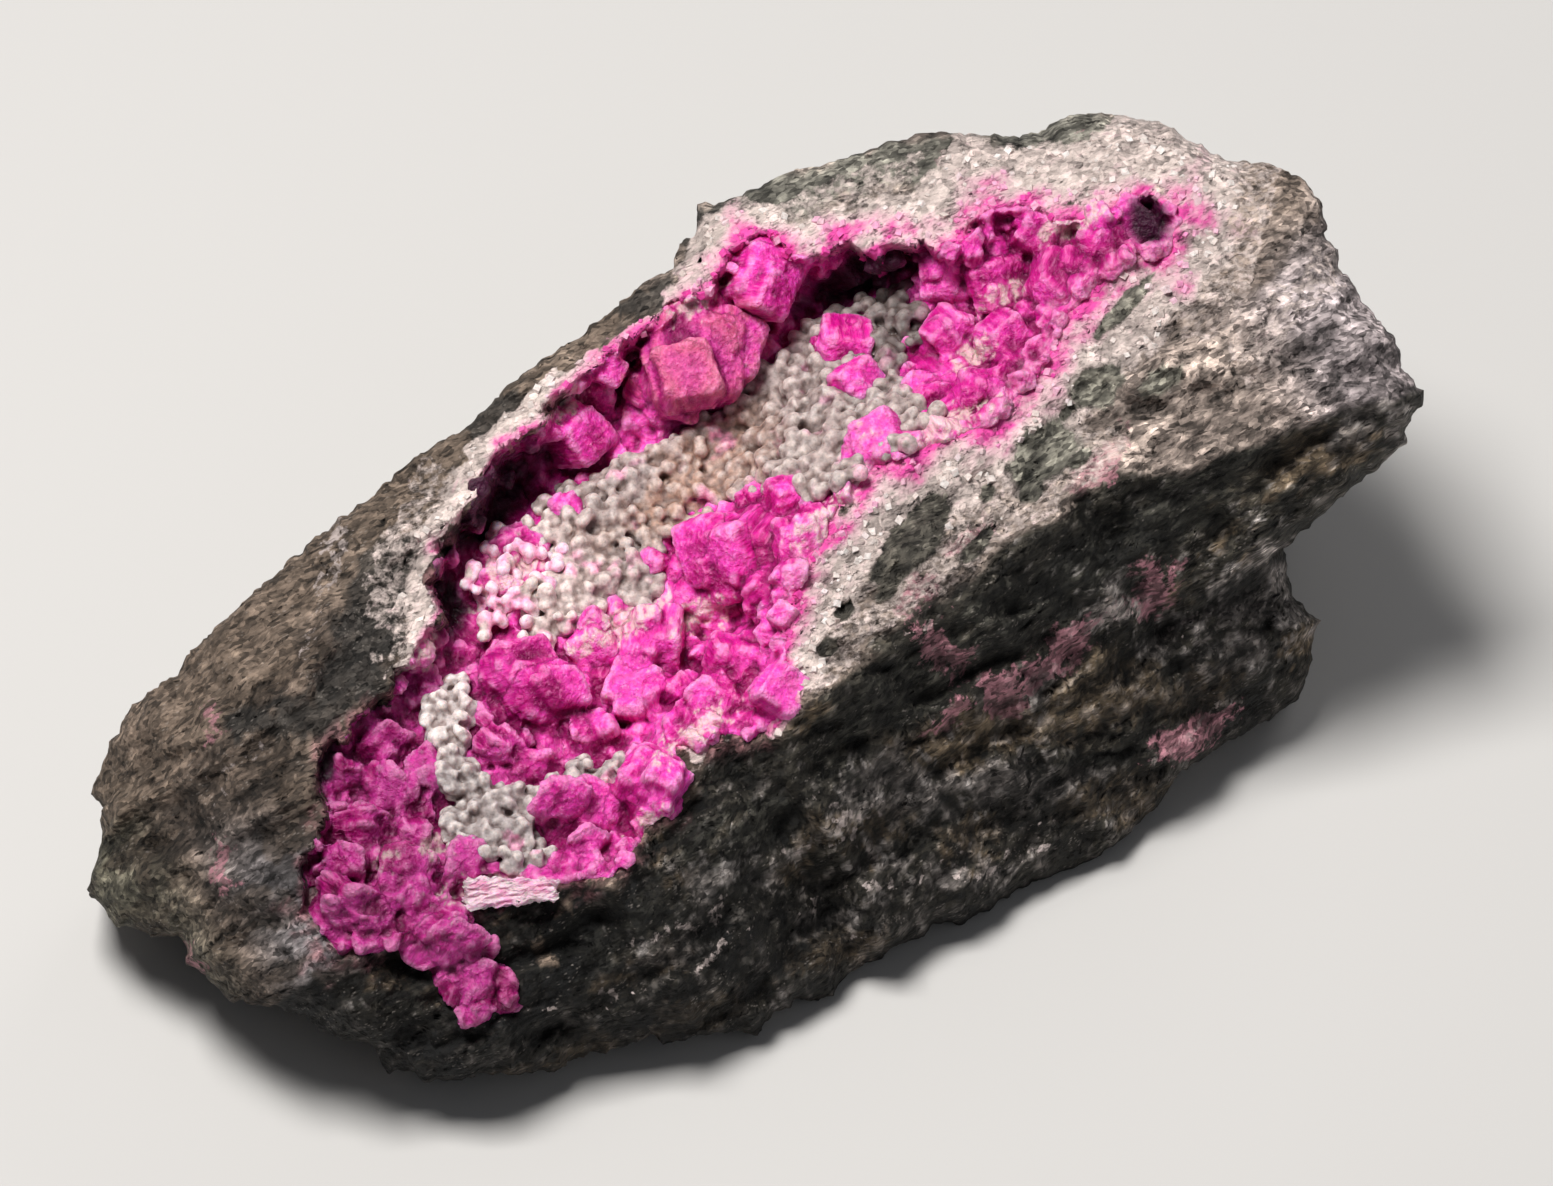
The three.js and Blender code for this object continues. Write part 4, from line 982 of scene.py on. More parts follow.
PEACH_OVAL = [(6.0, 22.0, 6.0, 5.0, 0)]


def inside(line, a, b):
    """Whether places lie in a closed line: an odd number of its sides is crossed on the way out."""
    within = np.zeros(np.shape(a), dtype=bool)
    for (a0, b0), (a1, b1) in zip(line, np.roll(line, -1, axis=0)):
        if b0 == b1:
            continue
        crossing = (b0 > b) != (b1 > b)
        within ^= crossing & (a < (a1 - a0) * (b - b0) / (b1 - b0) + a0)
    return within


def edge_distance(line, a, b):
    """Least distance to the sides of a closed line, negative outside it."""
    nearest = np.full(np.shape(a), 99.0)
    for (a0, b0), (a1, b1) in zip(line, np.roll(line, -1, axis=0)):
        run_a, run_b = a1 - a0, b1 - b0
        along = np.clip(((a - a0) * run_a + (b - b0) * run_b) / max(run_a**2 + run_b**2, 1e-9), 0, 1)
        nearest = np.minimum(nearest, np.hypot(a - a0 - along * run_a, b - b0 - along * run_b))
    return np.where(inside(line, a, b), nearest, -nearest)


def in_patch(line, a, b):
    """Whether places lie in a globule patch, with its edge made uneven by lumps."""
    uneven = 0.9 * crags(flat_points(a, b), 2.2, 3, 151)
    return edge_distance(line, a, b) + uneven > 0


def sheet_over(line, step, rise, from_a=-99.0, to_a=99.0):
    """Closed sheet inside a closed line, on a grid, with a bottom a little under the stone.

    Its top is the stone's height plus the least of the rise and a slope up from the sheet's edge."""
    low, high = line.min(axis=0) - 1, line.max(axis=0) + 1
    along = np.arange(max(low[0], from_a - 1), min(high[0], to_a + 1), step)
    a, b = np.meshgrid(along, np.arange(low[1], high[1], step), indexing="ij")
    within = edge_distance(line, a, b) + 0.5 * crags(flat_points(a, b), 1.5, 2, 161)
    within = np.minimum(within, np.minimum(a - from_a, to_a - a))
    base = stone_top(a, b)
    top = base + np.minimum(rise(a, b), 2.2 * within - 0.4)
    kept = (within[:-1, :-1] > -0.3) & (within[1:, 1:] > -0.3)
    upper = grid_squares(np.arange(a.size).reshape(a.shape))[kept.ravel()]
    lower = upper[:, ::-1] + a.size
    pairs = np.concatenate([np.stack([upper[:, k], upper[:, (k + 1) % 4]], -1) for k in range(4)])
    _, first, count = np.unique(np.sort(pairs, axis=1), axis=0, return_index=True, return_counts=True)
    rim = pairs[first[count == 1]]
    walls = np.stack([rim[:, 1], rim[:, 0], rim[:, 0] + a.size, rim[:, 1] + a.size], axis=-1)
    points = np.concatenate([np.stack([a, b, w], -1) for w in (top, base - LINING_UNDER)]).reshape(-1, 3)
    used, faces = np.unique(np.concatenate([upper, lower, walls]), return_inverse=True)
    return points[used], faces.reshape(-1, 4)


def cube_grid(steps):
    """Points and squares of a cube of half width one, each side a grid, merged along its edges."""
    line = np.linspace(-1, 1, steps + 1)
    first, second = np.meshgrid(line, line, indexing="ij")
    sides = []
    for axis in range(3):
        for sign in (-1, 1):
            side = np.empty(first.shape + (3,))
            side[..., axis] = sign
            side[..., (axis + 1) % 3] = first
            side[..., (axis + 2) % 3] = second * sign
            sides.append(side.reshape(-1, 3))
    index = np.arange((steps + 1) ** 2).reshape(steps + 1, steps + 1)
    squares = np.concatenate([grid_squares(index) + k * index.size for k in range(6)])
    corners, merged = np.unique(np.round(np.concatenate(sides), 6), axis=0, return_inverse=True)
    return corners, merged.ravel()[squares]


def drawn_in(corners, sharpness):
    """Cube points drawn in until |x|^p + |y|^p + |z|^p is one, with p the sharpness."""
    return corners / np.sum(np.abs(corners) ** sharpness, axis=-1, keepdims=True) ** (1 / sharpness)


STAND_ON_CORNER = turn_about(0, np.arctan(np.sqrt(2))) @ turn_about(2, np.pi / 4)


def turns(angles, axis):
    """One turn matrix per angle, about x (0) or z (2)."""
    return np.stack([turn_about(axis, angle) for angle in angles])


def stances(rows):
    """Turns of the rows' crystals: spun, leaned from upright, then turned to the way they lean."""
    lean, toward, spin = np.radians(rows[:, 4]), np.radians(rows[:, 5] + 90), np.radians(rows[:, 6])
    return turns(toward, 2) @ turns(lean, 0) @ turns(spin, 2)


def to_left(a):
    """S-curve from 0 to 1 at the left end of the crust, where its crystals are flat and petal-like."""
    return smooth(-12, -26, a)


def crystals(rows, steps, sharpness, roughness, seed):
    """Rhombohedra: rounded cubes stood on a corner, pressed along that axis, leaned and placed.

    Each row is a, b, w, width, lean, way it leans and spin; the press differs from one to the next."""
    corners, squares = cube_grid(steps)
    sharpness = np.broadcast_to(sharpness, len(rows))[:, None, None]
    shell = drawn_in(corners[None], sharpness)
    width = rows[:, 3, None, None]
    press = np.random.default_rng(seed).uniform(0.68, 0.98, len(rows)) * (1 - 0.42 * to_left(rows[:, 0]))
    pressed = np.einsum("n,ij->nij", press, np.diag([0.0, 0.0, 1.0])) + np.diag([1.0, 1.0, 0.0])
    placed = stances(rows) @ pressed @ STAND_ON_CORNER
    local = np.einsum("nij,nvj->nvi", placed, shell) * CRYSTAL_HALF * width
    points = local + rows[:, None, :3]
    outward = local / np.linalg.norm(local, axis=-1, keepdims=True)
    swell = crags(points / width, 0.7, 2, seed) * roughness * rows[:, 3, None]
    points = points + outward * swell[..., None]
    faces = squares[None] + (np.arange(len(rows)) * len(corners))[:, None, None]
    return points.reshape(-1, 3), faces.reshape(-1, 4)


def own_crystal(points, rows):
    """Each point's crystal, the one least far in its own widths, with its axes and the place in them."""
    nearest = np.full(len(points), 99.0)
    owner = np.zeros(len(points), dtype=int)
    for number, row in enumerate(rows):
        away = np.sum((points - row[:3]) ** 2, axis=1) / row[3] ** 2
        owner[away < nearest] = number
        nearest = np.minimum(nearest, away)
    axes = (stances(rows) @ STAND_ON_CORNER)[owner]
    return owner, axes, np.einsum("nij,ni->nj", axes, points - rows[owner, :3])


def fused(shells, voxel):
    """One skin round overlapping closed shells, by a voxel remesh; gives points, faces and edges."""
    starts = np.cumsum([0] + [len(points) for points, _ in shells[:-1]])
    faces = [face for (_, squares), start in zip(shells, starts) for face in (squares + start).tolist()]
    mesh = bpy.data.meshes.new("shells")
    mesh.from_pydata(np.concatenate([points for points, _ in shells]).tolist(), [], faces)
    raw = bpy.data.objects.new("shells", mesh)
    bpy.context.scene.collection.objects.link(raw)
    remesh = raw.modifiers.new("fuse", "REMESH")
    remesh.mode = "VOXEL"
    remesh.voxel_size = voxel
    skin = bpy.data.meshes.new_from_object(raw.evaluated_get(bpy.context.evaluated_depsgraph_get()))
    skin_points = np.empty((len(skin.vertices), 3), dtype=np.float32)
    skin.vertices.foreach_get("co", skin_points.ravel())
    corners = np.empty(len(skin.loops), dtype=np.int32)
    skin.loops.foreach_get("vertex_index", corners)
    pairs = np.empty(len(skin.edges) * 2, dtype=np.int32)
    skin.edges.foreach_get("vertices", pairs)
    bpy.data.objects.remove(raw)
    bpy.data.meshes.remove(skin)
    return skin_points.astype(float), corners.reshape(-1, 4), pairs.reshape(-1, 2)


def evened(points, pairs, rounds):
    """Points, or other values in columns, drawn to the mean of their neighbours, over and over."""
    both = np.concatenate([pairs, pairs[:, ::-1]])
    count = np.bincount(both[:, 0], minlength=len(points))[:, None]
    for _ in range(rounds):
        total = [np.bincount(both[:, 0], column[both[:, 1]], len(points)) for column in points.T]
        points = np.stack(total, axis=1) / count
    return points


def outward_normals(points, faces):
    """Mean of the face normals round each point, from the cross product of each face's diagonals."""
    across = np.cross(points[faces[:, 2]] - points[faces[:, 0]], points[faces[:, 3]] - points[faces[:, 1]])
    total = [np.bincount(faces.ravel(), np.repeat(across[:, k], 4), len(points)) for k in range(3)]
    total = np.stack(total, axis=1)
    return total / np.maximum(np.linalg.norm(total, axis=1, keepdims=True), 1e-9)


def crystal_texture(points, faces, pairs, local, axes):
    """Skin evened out, with growth steps, folds and fibres; also how far each point stands proud.

    The growth steps are a saw wave over the place in the crystal's axes, so they follow its edges."""
    points = 0.5 * points + 0.5 * evened(points, pairs, 2)
    normals = outward_normals(points, faces)
    facing = np.abs(np.einsum("nij,ni->nj", axes, normals))
    saw = np.mod(local / 1.1 + 0.8 * crags(points, 3.0, 3, 193)[:, None], 1.0) - 0.5
    steps = saw[:, 0] * (1 - facing[:, 0]) + saw[:, 1] * facing[:, 0]
    folds = (0.10 + 0.14 * to_left(points[:, 0])) * crags(points, 3.6, 3, 197, creased=True)
    fibres = 0.09 * crags(local * FIBRE_DRAW, 1.4, 3, 195)
    points = points + normals * (0.10 * steps + folds + fibres)[:, None]
    rise = [np.sum((points - evened(points, pairs, rounds)) * normals, axis=1) for rounds in (5, 40)]
    fine, broad = evened(np.stack(rise, axis=1), pairs, 2).T
    return points, fine, broad, facing[:, 0] - facing[:, 1]


def pink_colours(points, fine, broad, facing, local, tone):
    """Magenta body, deeper to the left, painted shade in clefts, frost and painted highlight on edges;
    and the painted shade it stands in, which also darkens the colour.

    Colours are mixed by how far a point stands proud, by crags, and by ovals on the face."""
    a, b = points[:, 0], points[:, 1]
    patch = crags(points, 4.5, 3, 181) + 0.3 * tone
    streak = crags(local * FIBRE_DRAW, 1.4, 3, 171)
    body = patch + 0.5 * streak + 0.5 * facing
    colour = mix(CRUST_MAGENTA, CRUST_BRIGHT, smooth(-0.6, 0.6, body))
    # Painted shade in broad clefts and in fine creases, by how far a point lies sunk.
    sunk_shade = smooth(0.12, -0.4, broad + 0.3 * patch - 0.12 * to_left(a))
    colour = mix(colour, CLEFT_SHADE_DEEP, sunk_shade * 0.9)
    colour = mix(colour, CREASE_SHADE_DARKEST, smooth(-0.01, -0.12, fine) * 0.85)
    pale = 0.35 * smooth(0.1, 0.7, 0.6 * streak + 0.6 * patch) * smooth(-0.6, 0.3, broad + 0.4 * patch)
    colour = mix(colour, SILKY_PINK, pale)
    # Frost and painted highlight on edges that stand proud.
    frost_and_edge_highlight = smooth(0.025, 0.09, fine) * smooth(-0.5, 0.4, broad + 0.5 * patch)
    colour = mix(colour, FROST_AND_HIGHLIGHT_PINK, 0.75 * frost_and_edge_highlight)
    peach = smooth(0.3, 0.7, in_ovals(a, b, PEACH_OVAL) + 0.25 * streak) * smooth(-0.2, 0.3, broad)
    colour = mix(colour, PEACH, peach * 0.6)
    to_rim = np.interp(a, *LOWER_RIM.T) + 1.8 + 1.8 * streak + 1.2 * patch - b
    at_rim = smooth(-1.2, 2.6, to_rim) * smooth(-4, 6, a)
    spots = smooth(0.4, 0.75, in_ovals(a, b, BLEACHED) + 0.35 * streak + 0.25 * patch)
    bleach = np.maximum(0.8 * at_rim, 0.75 * spots) * smooth(-0.7, 0.2, broad)
    bleach = np.clip(bleach, 0, 0.9) * (0.55 + 0.45 * smooth(-0.4, 0.5, streak))
    colour = mix(colour, BLEACHED_PINK, bleach)
    colour = mix(colour, BLEACHED_CREAM, smooth(0.6, 1.1, spots * (1 + 0.6 * streak)) * 0.6)
    # The shade painted into the colour: deep in the recesses, and less deep to the left, at the right and
    # on the peach crystal; it also dims the painted sheen.
    recess_shade = smooth(0.25, 0.7, in_ovals(a, b, SHADED_RECESSES) + 0.2 * patch)
    shade = 1 - 0.44 * smooth(-14, -40, a) - 0.12 * smooth(20, 28, a)
    shade = shade - 0.2 * smooth(0.2, 0.6, in_ovals(a, b, PEACH_OVAL))
    shade = shade * (1 - 0.94 * recess_shade)
    return np.clip(colour * shade[:, None], 0, 1), shade * (0.35 + 0.65 * smooth(-0.5, 0.1, broad))


def slab():
    """Cleaved slab: a cube drawn out, thinned to one end, moved by long crags, and turned level."""
    corners, squares = cube_grid(36)
    block = drawn_in(corners, 30.0)
    thinning = np.stack([np.ones(len(block)), 1 - 0.3 * block[:, 0], 1 - 0.25 * block[:, 0]], axis=1)
    block = block * SLAB_HALF * thinning
    block[:, 0] += 0.5 * crags(block * (0.3, 2.0, 2.0), 1.0, 3, 205)
    block[:, 1] += 0.35 * crags(block * (1.0, 0.3, 1.6), 1.1, 4, 207)
    block[:, 2] += 0.22 * crags(block * (0.4, 2.0, 0.3), 1.2, 4, 209, creased=True)
    place = SLAB_PLACE + (0, 0, stone_top(SLAB_PLACE[0], SLAB_PLACE[1]) + 1.0)
    return block @ turn_about(2, -0.9 * FACE_TURN).T + place, squares


def scattered(line, spacing, seed, moved=0.5):
    """Places on a grid, every second row set off by half a step, each moved at random by a share."""
    mover = np.random.default_rng(seed)
    low, high = line.min(axis=0), line.max(axis=0)
    a, b = np.meshgrid(np.arange(low[0], high[0], spacing), np.arange(low[1], high[1], 0.87 * spacing))
    a = a + 0.5 * spacing * (np.arange(len(a)) % 2)[:, None]
    places = np.stack([a.ravel(), b.ravel()], axis=1)
    return places + mover.uniform(-moved, moved, places.shape) * spacing


def lining_rise(a, b):
    """Thickness of the lining: a thin coat with lumps about two millimetres wide."""
    return 0.7 + 0.6 * crags(flat_points(a, b), 2.2, 4, 191)


# Rows of the large crystals, of the smaller ones that branch from them, and of the scattered ones.

rng = np.random.default_rng(3)
main_low = np.minimum(stone_top(CRYSTALS[:, 0], CRYSTALS[:, 1]),
                      stone_top(CRYSTALS[:, 0], CRYSTALS[:, 1] - 0.2 * CRYSTALS[:, 2]) + 1)
to_upper_rim = np.interp(CRYSTALS[:, 0], *UPPER_RIM.T) - CRYSTALS[:, 1]
held_up = 0.55 * hollow_depth(CRYSTALS[:, 0], CRYSTALS[:, 1]) * smooth(7.5, 2.5, to_upper_rim)
main_w = main_low + 0.8 + 0.08 * CRYSTALS[:, 2] + held_up * smooth(5, 8, CRYSTALS[:, 2])
main_rows = np.column_stack([CRYSTALS[:, :2], main_w, CRYSTALS[:, 2:]])
parent = np.repeat(np.arange(len(main_rows)), np.round(1.1 * CRYSTALS[:, 2]).astype(int))
direction = rng.normal(size=(len(parent), 3))
direction[:, 2] = np.abs(direction[:, 2]) * 0.8 - 0.1
direction /= np.linalg.norm(direction, axis=1, keepdims=True)
branch_rows = main_rows[parent].copy()
branch_rows[:, :3] += direction * (rng.uniform(0.16, 0.38, len(parent)) * branch_rows[:, 3])[:, None]
branch_rows[:, 3] *= rng.uniform(0.3, 0.72, len(parent))
branch_rows[:, 4:] += rng.normal(scale=9, size=(len(parent), 3))

places = scattered(CRUST_OUTLINE, SMALL_SPACING, 221)
under_beads = in_patch(UPPER_PATCH, *places.T) | in_patch(LOWER_PATCH, *places.T)
places = places[(edge_distance(CRUST_OUTLINE, *places.T) > 0.2) & ~under_beads]
small_width = rng.uniform(1.0, 2.6, len(places)) * (0.7 + 0.7 * rng.random(len(places)))
small_rows = np.column_stack([
    places, stone_top(*places.T) + 0.6 + 0.08 * small_width, small_width,
    rng.uniform(10, 65, len(places)), rng.uniform(0, 360, len(places)), rng.uniform(0, 120, len(places)),
])

# The three reaches of the crust, each of its lining and the crystals that stand in it.

crust_pieces = []
for name, from_a, to_a in REACHES:
    shells = [sheet_over(CRUST_OUTLINE, LINING_STEP, lining_rise, from_a, to_a)]
    large_rows = []
    for rows, steps in ((main_rows, 14), (branch_rows, 8), (small_rows, 4)):
        here = rows[(rows[:, 0] >= from_a + OVERLAP) & (rows[:, 0] < to_a - OVERLAP)]
        sharpness = 8.5 - 2.5 * to_left(here[:, 0]) + rng.uniform(-1.5, 2.0, len(here))
        shells.append(crystals(here, steps, sharpness, 0.05, 201 + steps))
        large_rows.append(here[here[:, 3] > LARGE_CRYSTAL])
    skin_points, skin_faces, skin_pairs = fused(shells, CRUST_VOXEL)
    owner, axes, local = own_crystal(skin_points, np.concatenate(large_rows))
    skin_points, fine_rise, broad_rise, facing = crystal_texture(
        skin_points, skin_faces, skin_pairs, local, axes)
    piece = new_piece("pink_calcite_" + name, to_frame(kept_inside(skin_points)), skin_faces.tolist())
    tone = rng.normal(size=owner.max() + 1)[owner]
    colour, shade = pink_colours(skin_points, fine_rise, broad_rise, facing, local, tone)
    add_values(piece, "crystal_colour", colour)
    add_values(piece, "shade", shade)
    add_values(piece, "along_fibres", local * FIBRE_DRAW)
    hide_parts("pink_calcite_crust")
    crust_pieces.append(piece)

# The slab lies across the lower edge of the crust, where calcite has parted along its cleavage.

slab_points, slab_faces = slab()
slab_piece = new_piece("pale_calcite_slab", to_frame(slab_points), slab_faces.tolist())
slab_patch = crags(slab_points, 1.6, 3, 211)
slab_colour = mix(SLAB_PALE, SLAB_PINK, smooth(0.0, 0.5, slab_patch) * 0.7)
add_values(slab_piece, "crystal_colour", slab_colour)
add_values(slab_piece, "along_fibres", slab_points * FIBRE_DRAW)
add_values(slab_piece, "shade", np.full(len(slab_points), 0.9))
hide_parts("pink_calcite_crust")
crust_pieces.append(slab_piece)

pink = Finish("Cobalt-bearing calcite")
streaks, dust = pink.grain(1000), pink.grain(2800)
fibres = pink.add("ShaderNodeTexNoise")
fibres.inputs["Scale"].default_value = 1.0
fibres.inputs["Detail"].default_value = 3
fibres.inputs["Roughness"].default_value = 0.55
pink.links.new(pink.stored("along_fibres")["Vector"], fibres.inputs["Vector"])
shaded = pink.toned(pink.stored("crystal_colour")["Color"], fibres.outputs["Fac"], 0.34, 0.66, 0.74, 1.2)
# Painted sheen in silky streaks and sugary specks, dimmed by the painted shade.
silky_sheen_share = pink.span(fibres.outputs["Fac"], 0.54, 0.70, 0.0, 0.46)
sheen = pink.blend("MULTIPLY", 1.0, FIBRE_SHEEN, pink.stored("shade")["Fac"])
shaded = pink.blend("MIX", silky_sheen_share, shaded, sheen)
sugar = pink.span(dust["Mottle"], 0.58, 0.7, 0.0, 0.22)
shaded = pink.blend("MIX", sugar, shaded, sheen)
pink.links.new(shaded, pink.shader.inputs["Base Color"])
pink.links.new(pink.span(streaks["Mottle"], 0.36, 0.64, 0.26, 0.5), pink.shader.inputs["Roughness"])
facets = pink.bump(fibres.outputs["Fac"], 0.00045)
facets = pink.bump(streaks["Facets"], 0.0002, facets)
facets = pink.bump(dust["Mottle"], 0.00012, facets)
pink.links.new(facets, pink.shader.inputs["Normal"])
pink.shader.inputs["Specular IOR Level"].default_value = 0.32
pink.shader.inputs["Subsurface Weight"].default_value = 0.5
pink.shader.inputs["Subsurface Radius"].default_value = (1.0, 0.25, 0.65)
pink.shader.inputs["Subsurface Scale"].default_value = 0.0009
pink.shader.inputs["IOR"].default_value = 1.48
for piece in crust_pieces:
    piece.data.materials.append(pink.material)


# The pale globules. Beads about a millimetre across of grey-white to beige carbonate, packed side by
# side on the crust in two patches, with more layers of beads on the first here and there. Looser,
# pinker beads stand among the crystals beyond the left end of the upper patch.

BEAD_SPACING = 1.12
BEAD_RADIUS = 0.76
BEAD_VOXEL = 0.19
WARM_BEADS = [(-1, 11.5, 7, 3.4, 0), (3, 14, 5, 3, 0)]

# Layers of beads: the share of the places that hold one, and the height over the stone.

FULL_LAYERS = ((1.5, 1.2), (0.7, 1.9), (0.35, 2.5))
LOOSE_LAYERS = ((0.5, 1.9), (0.3, 2.6))
MIXED_PATCH = np.array([
    (-23.5, 10), (-19, 8.8), (-14, 10), (-12.5, 13), (-14, 16.5), (-18.5, 18), (-22.5, 15),
])

BEAD_GREY = (0.385, 0.312, 0.296)
BEAD_BEIGE = (0.400, 0.240, 0.175)
BEAD_SHADED = (0.250, 0.198, 0.188)
BEAD_COOL = (0.370, 0.335, 0.335)
BEAD_BLUSH = (0.800, 0.250, 0.480)
# Painted highlight on bead crowns and painted shade in the gaps between them.
BEAD_CROWN_HIGHLIGHT = (0.870, 0.790, 0.760)
BEAD_GAP_SHADE = (0.120, 0.068, 0.058)


def bead_shell():
    """Ball of 80 triangles: an icosahedron with each side halved and drawn out to one radius."""
    golden = (1 + 5**0.5) / 2
    corners = [(s, t * golden, 0) for s in (-1, 1) for t in (-1, 1)]
    corners = np.array([np.roll(corner, k) for k in range(3) for corner in corners], dtype=float)
    close = np.abs(np.linalg.norm(corners[:, None] - corners[None], axis=-1) - 2) < 1e-6
    points, faces, middle = list(corners), [], {}

    def halfway(i, j):
        """Number of the point halfway between two corners, half their sum, made once per side."""
        key = (min(i, j), max(i, j))
        if key not in middle:
            middle[key] = len(points)
            points.append((points[i] + points[j]) / 2)
        return middle[key]

    for i, j, k in np.argwhere(close[:, :, None] & close[None, :, :] & close[:, None, :]):
        if not i < j < k:
            continue
        if np.dot(np.cross(corners[j] - corners[i], corners[k] - corners[i]), corners[i]) < 0:
            j, k = k, j
        ij, jk, ki = halfway(i, j), halfway(j, k), halfway(k, i)
        faces += [(i, ij, ki), (ij, j, jk), (ki, jk, k), (ij, jk, ki)]
    points = np.array(points)
    return points / np.linalg.norm(points, axis=1, keepdims=True), np.array(faces)


BEAD, BEAD_FACES = bead_shell()


def bead_shells(line, layers, dent, seed):
    """Beads over a patch in layers, each layer a share of a scatter's places at a height.

    A bead is the ball times its radius, pressed at random and dented by crags."""
    mover = np.random.default_rng(seed)
    centres, radius = [], []
    for number, (share, lift) in enumerate(layers):
        places = scattered(line, BEAD_SPACING, seed + number, 0.32)
        heap = crags(flat_points(*places.T), 3.5, 2, 241 + number)
        kept = in_patch(line, *places.T) & (mover.random(len(places)) + 0.5 * heap < share)
        places, heap = places[kept], heap[kept]
        height = stone_top(*places.T) + lift + 0.6 * heap + mover.uniform(-0.45, 0.4, len(places))
        centres.append(np.column_stack([places, height]))
        radius.append(BEAD_RADIUS * mover.uniform(0.66, 1.2, len(places)))
    centres, radius = np.concatenate(centres)[:, None], np.concatenate(radius)[:, None, None]
    pressed = BEAD[None] * mover.uniform(0.88, 1.12, (len(centres), 1, 3))
    dents = 1 + dent * crags(pressed + centres * 3, 1.1, 2, 251)
    points = centres + pressed * dents[..., None] * radius
    faces = BEAD_FACES[None] + (np.arange(len(points)) * len(BEAD))[:, None, None]
    return points.reshape(-1, 3), faces.reshape(-1, 3)


def bead_colours(points, rise, pinkness, greyness):
    """Grey-white to beige beads with painted highlights on the crowns and brown painted shade in the gaps;
    some blush pink, some grey.

    The mixing shares are crags and ovals, and for crowns and gaps how far a point stands proud.
    Painted shade darkens the beads under the upper lip, and painted light makes them lighter at the right
    of the lower patch."""
    tone = crags(points, 1.3, 2, 265)
    cloud = crags(points, 5.0, 2, 261)
    warm = smooth(0.25, 0.8, in_ovals(points[:, 0], points[:, 1], WARM_BEADS) + 0.4 * cloud + 0.3 * tone)
    colour = mix(BEAD_GREY, BEAD_BEIGE, warm * 0.85)
    colour = mix(colour, BEAD_SHADED, smooth(0.1, 0.8, cloud + 0.8 * tone) * 0.6)
    colour = mix(colour, BEAD_COOL, greyness)
    blush = smooth(0.4, 0.9, crags(points, 3.0, 2, 271) + 0.3 * tone + pinkness)
    colour = mix(colour, BEAD_BLUSH, blush * 0.65)
    low, middle, high = np.percentile(rise, (8, 50, 95))
    # Painted highlight on crowns and painted shade in the gaps, by how far a point stands proud.
    colour = mix(colour, BEAD_CROWN_HIGHLIGHT, smooth(middle, high, rise + 0.1 * tone) * 0.36)
    colour = mix(colour, BEAD_GAP_SHADE, smooth(middle, low, rise) * 0.66)
    # Painted shade under the upper lip and a little to the right, painted light to the left.
    light = 1 - 0.5 * smooth(15, 24, points[:, 0]) * smooth(9, 14, points[:, 1])
    light = light - 0.1 * smooth(10, 16, points[:, 0])
    light = light + 0.45 * smooth(-8, -15, points[:, 0]) * smooth(0, 4, points[:, 1])
    return np.clip(colour * light[:, None], 0, 1)


def bead_patch(name, line, layers, dent, pinkness, greyness, seed):
    """Beads and their bed grown into one skin, coloured by how far each point stands proud: painted
    highlight on crowns, painted shade in gaps.
    """
    bed = sheet_over(line, LINING_STEP, lambda a, b: 1.0 + 0.3 * crags(flat_points(a, b), 2, 2, 275))
    beads = bead_shells(line, layers, dent, seed)
    skin_points, skin_faces, skin_pairs = fused([beads, bed], BEAD_VOXEL)
    normals = outward_normals(skin_points, skin_faces)
    rise = np.sum((skin_points - evened(skin_points, skin_pairs, 10)) * normals, axis=1)
    shown_points = kept_inside(evened(skin_points, skin_pairs, 1))
    piece = new_piece(name, to_frame(shown_points), skin_faces.tolist())
    add_values(piece, "bead_colour", bead_colours(skin_points, rise, pinkness, greyness))
    return piece


upper_beads = bead_patch("upper_globule_beads", UPPER_PATCH, FULL_LAYERS,
                         dent=0.25, pinkness=0.0, greyness=0.0, seed=281)
lower_beads = bead_patch("lower_globule_beads", LOWER_PATCH, FULL_LAYERS,
                         dent=0.5, pinkness=-0.2, greyness=0.7, seed=291)
mixed_beads = bead_patch("blushing_beads", MIXED_PATCH, LOOSE_LAYERS,
                         dent=0.25, pinkness=0.8, greyness=0.0, seed=295)
for piece, node, slot in ((upper_beads, "upper_globules", "pale_globules"),
                          (lower_beads, "lower_globules", "pale_globules"),
                          (mixed_beads, "pink_calcite_crust", "pink_calcite")):
    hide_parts(node)

pale = Finish("Pale carbonate beads")
bead_grain = pale.grain(2200)
mottled = pale.toned(pale.stored("bead_colour")["Color"], bead_grain["Mottle"], 0.36, 0.64, 0.75, 1.3)
pale.links.new(mottled, pale.shader.inputs["Base Color"])
pale.links.new(pale.span(bead_grain["Mottle"], 0.36, 0.64, 0.25, 0.55), pale.shader.inputs["Roughness"])
pale.links.new(pale.bump(bead_grain["Mottle"], 0.00015), pale.shader.inputs["Normal"])
pale.shader.inputs["Subsurface Weight"].default_value = 0.7
pale.shader.inputs["Subsurface Radius"].default_value = (1.0, 0.75, 0.6)
pale.shader.inputs["Subsurface Scale"].default_value = 0.0009
for piece in (upper_beads, lower_beads, mixed_beads):
    piece.data.materials.append(pale.material)


# The sugary rim. Small blocks of white to pale pink calcite, half a millimetre to a millimetre across,
# that stand out of the calcite bands and the lips of the hollow and belong to the stone's own veins.

RIM_SHARE = 0.10
RIM_SUNK = 0.16

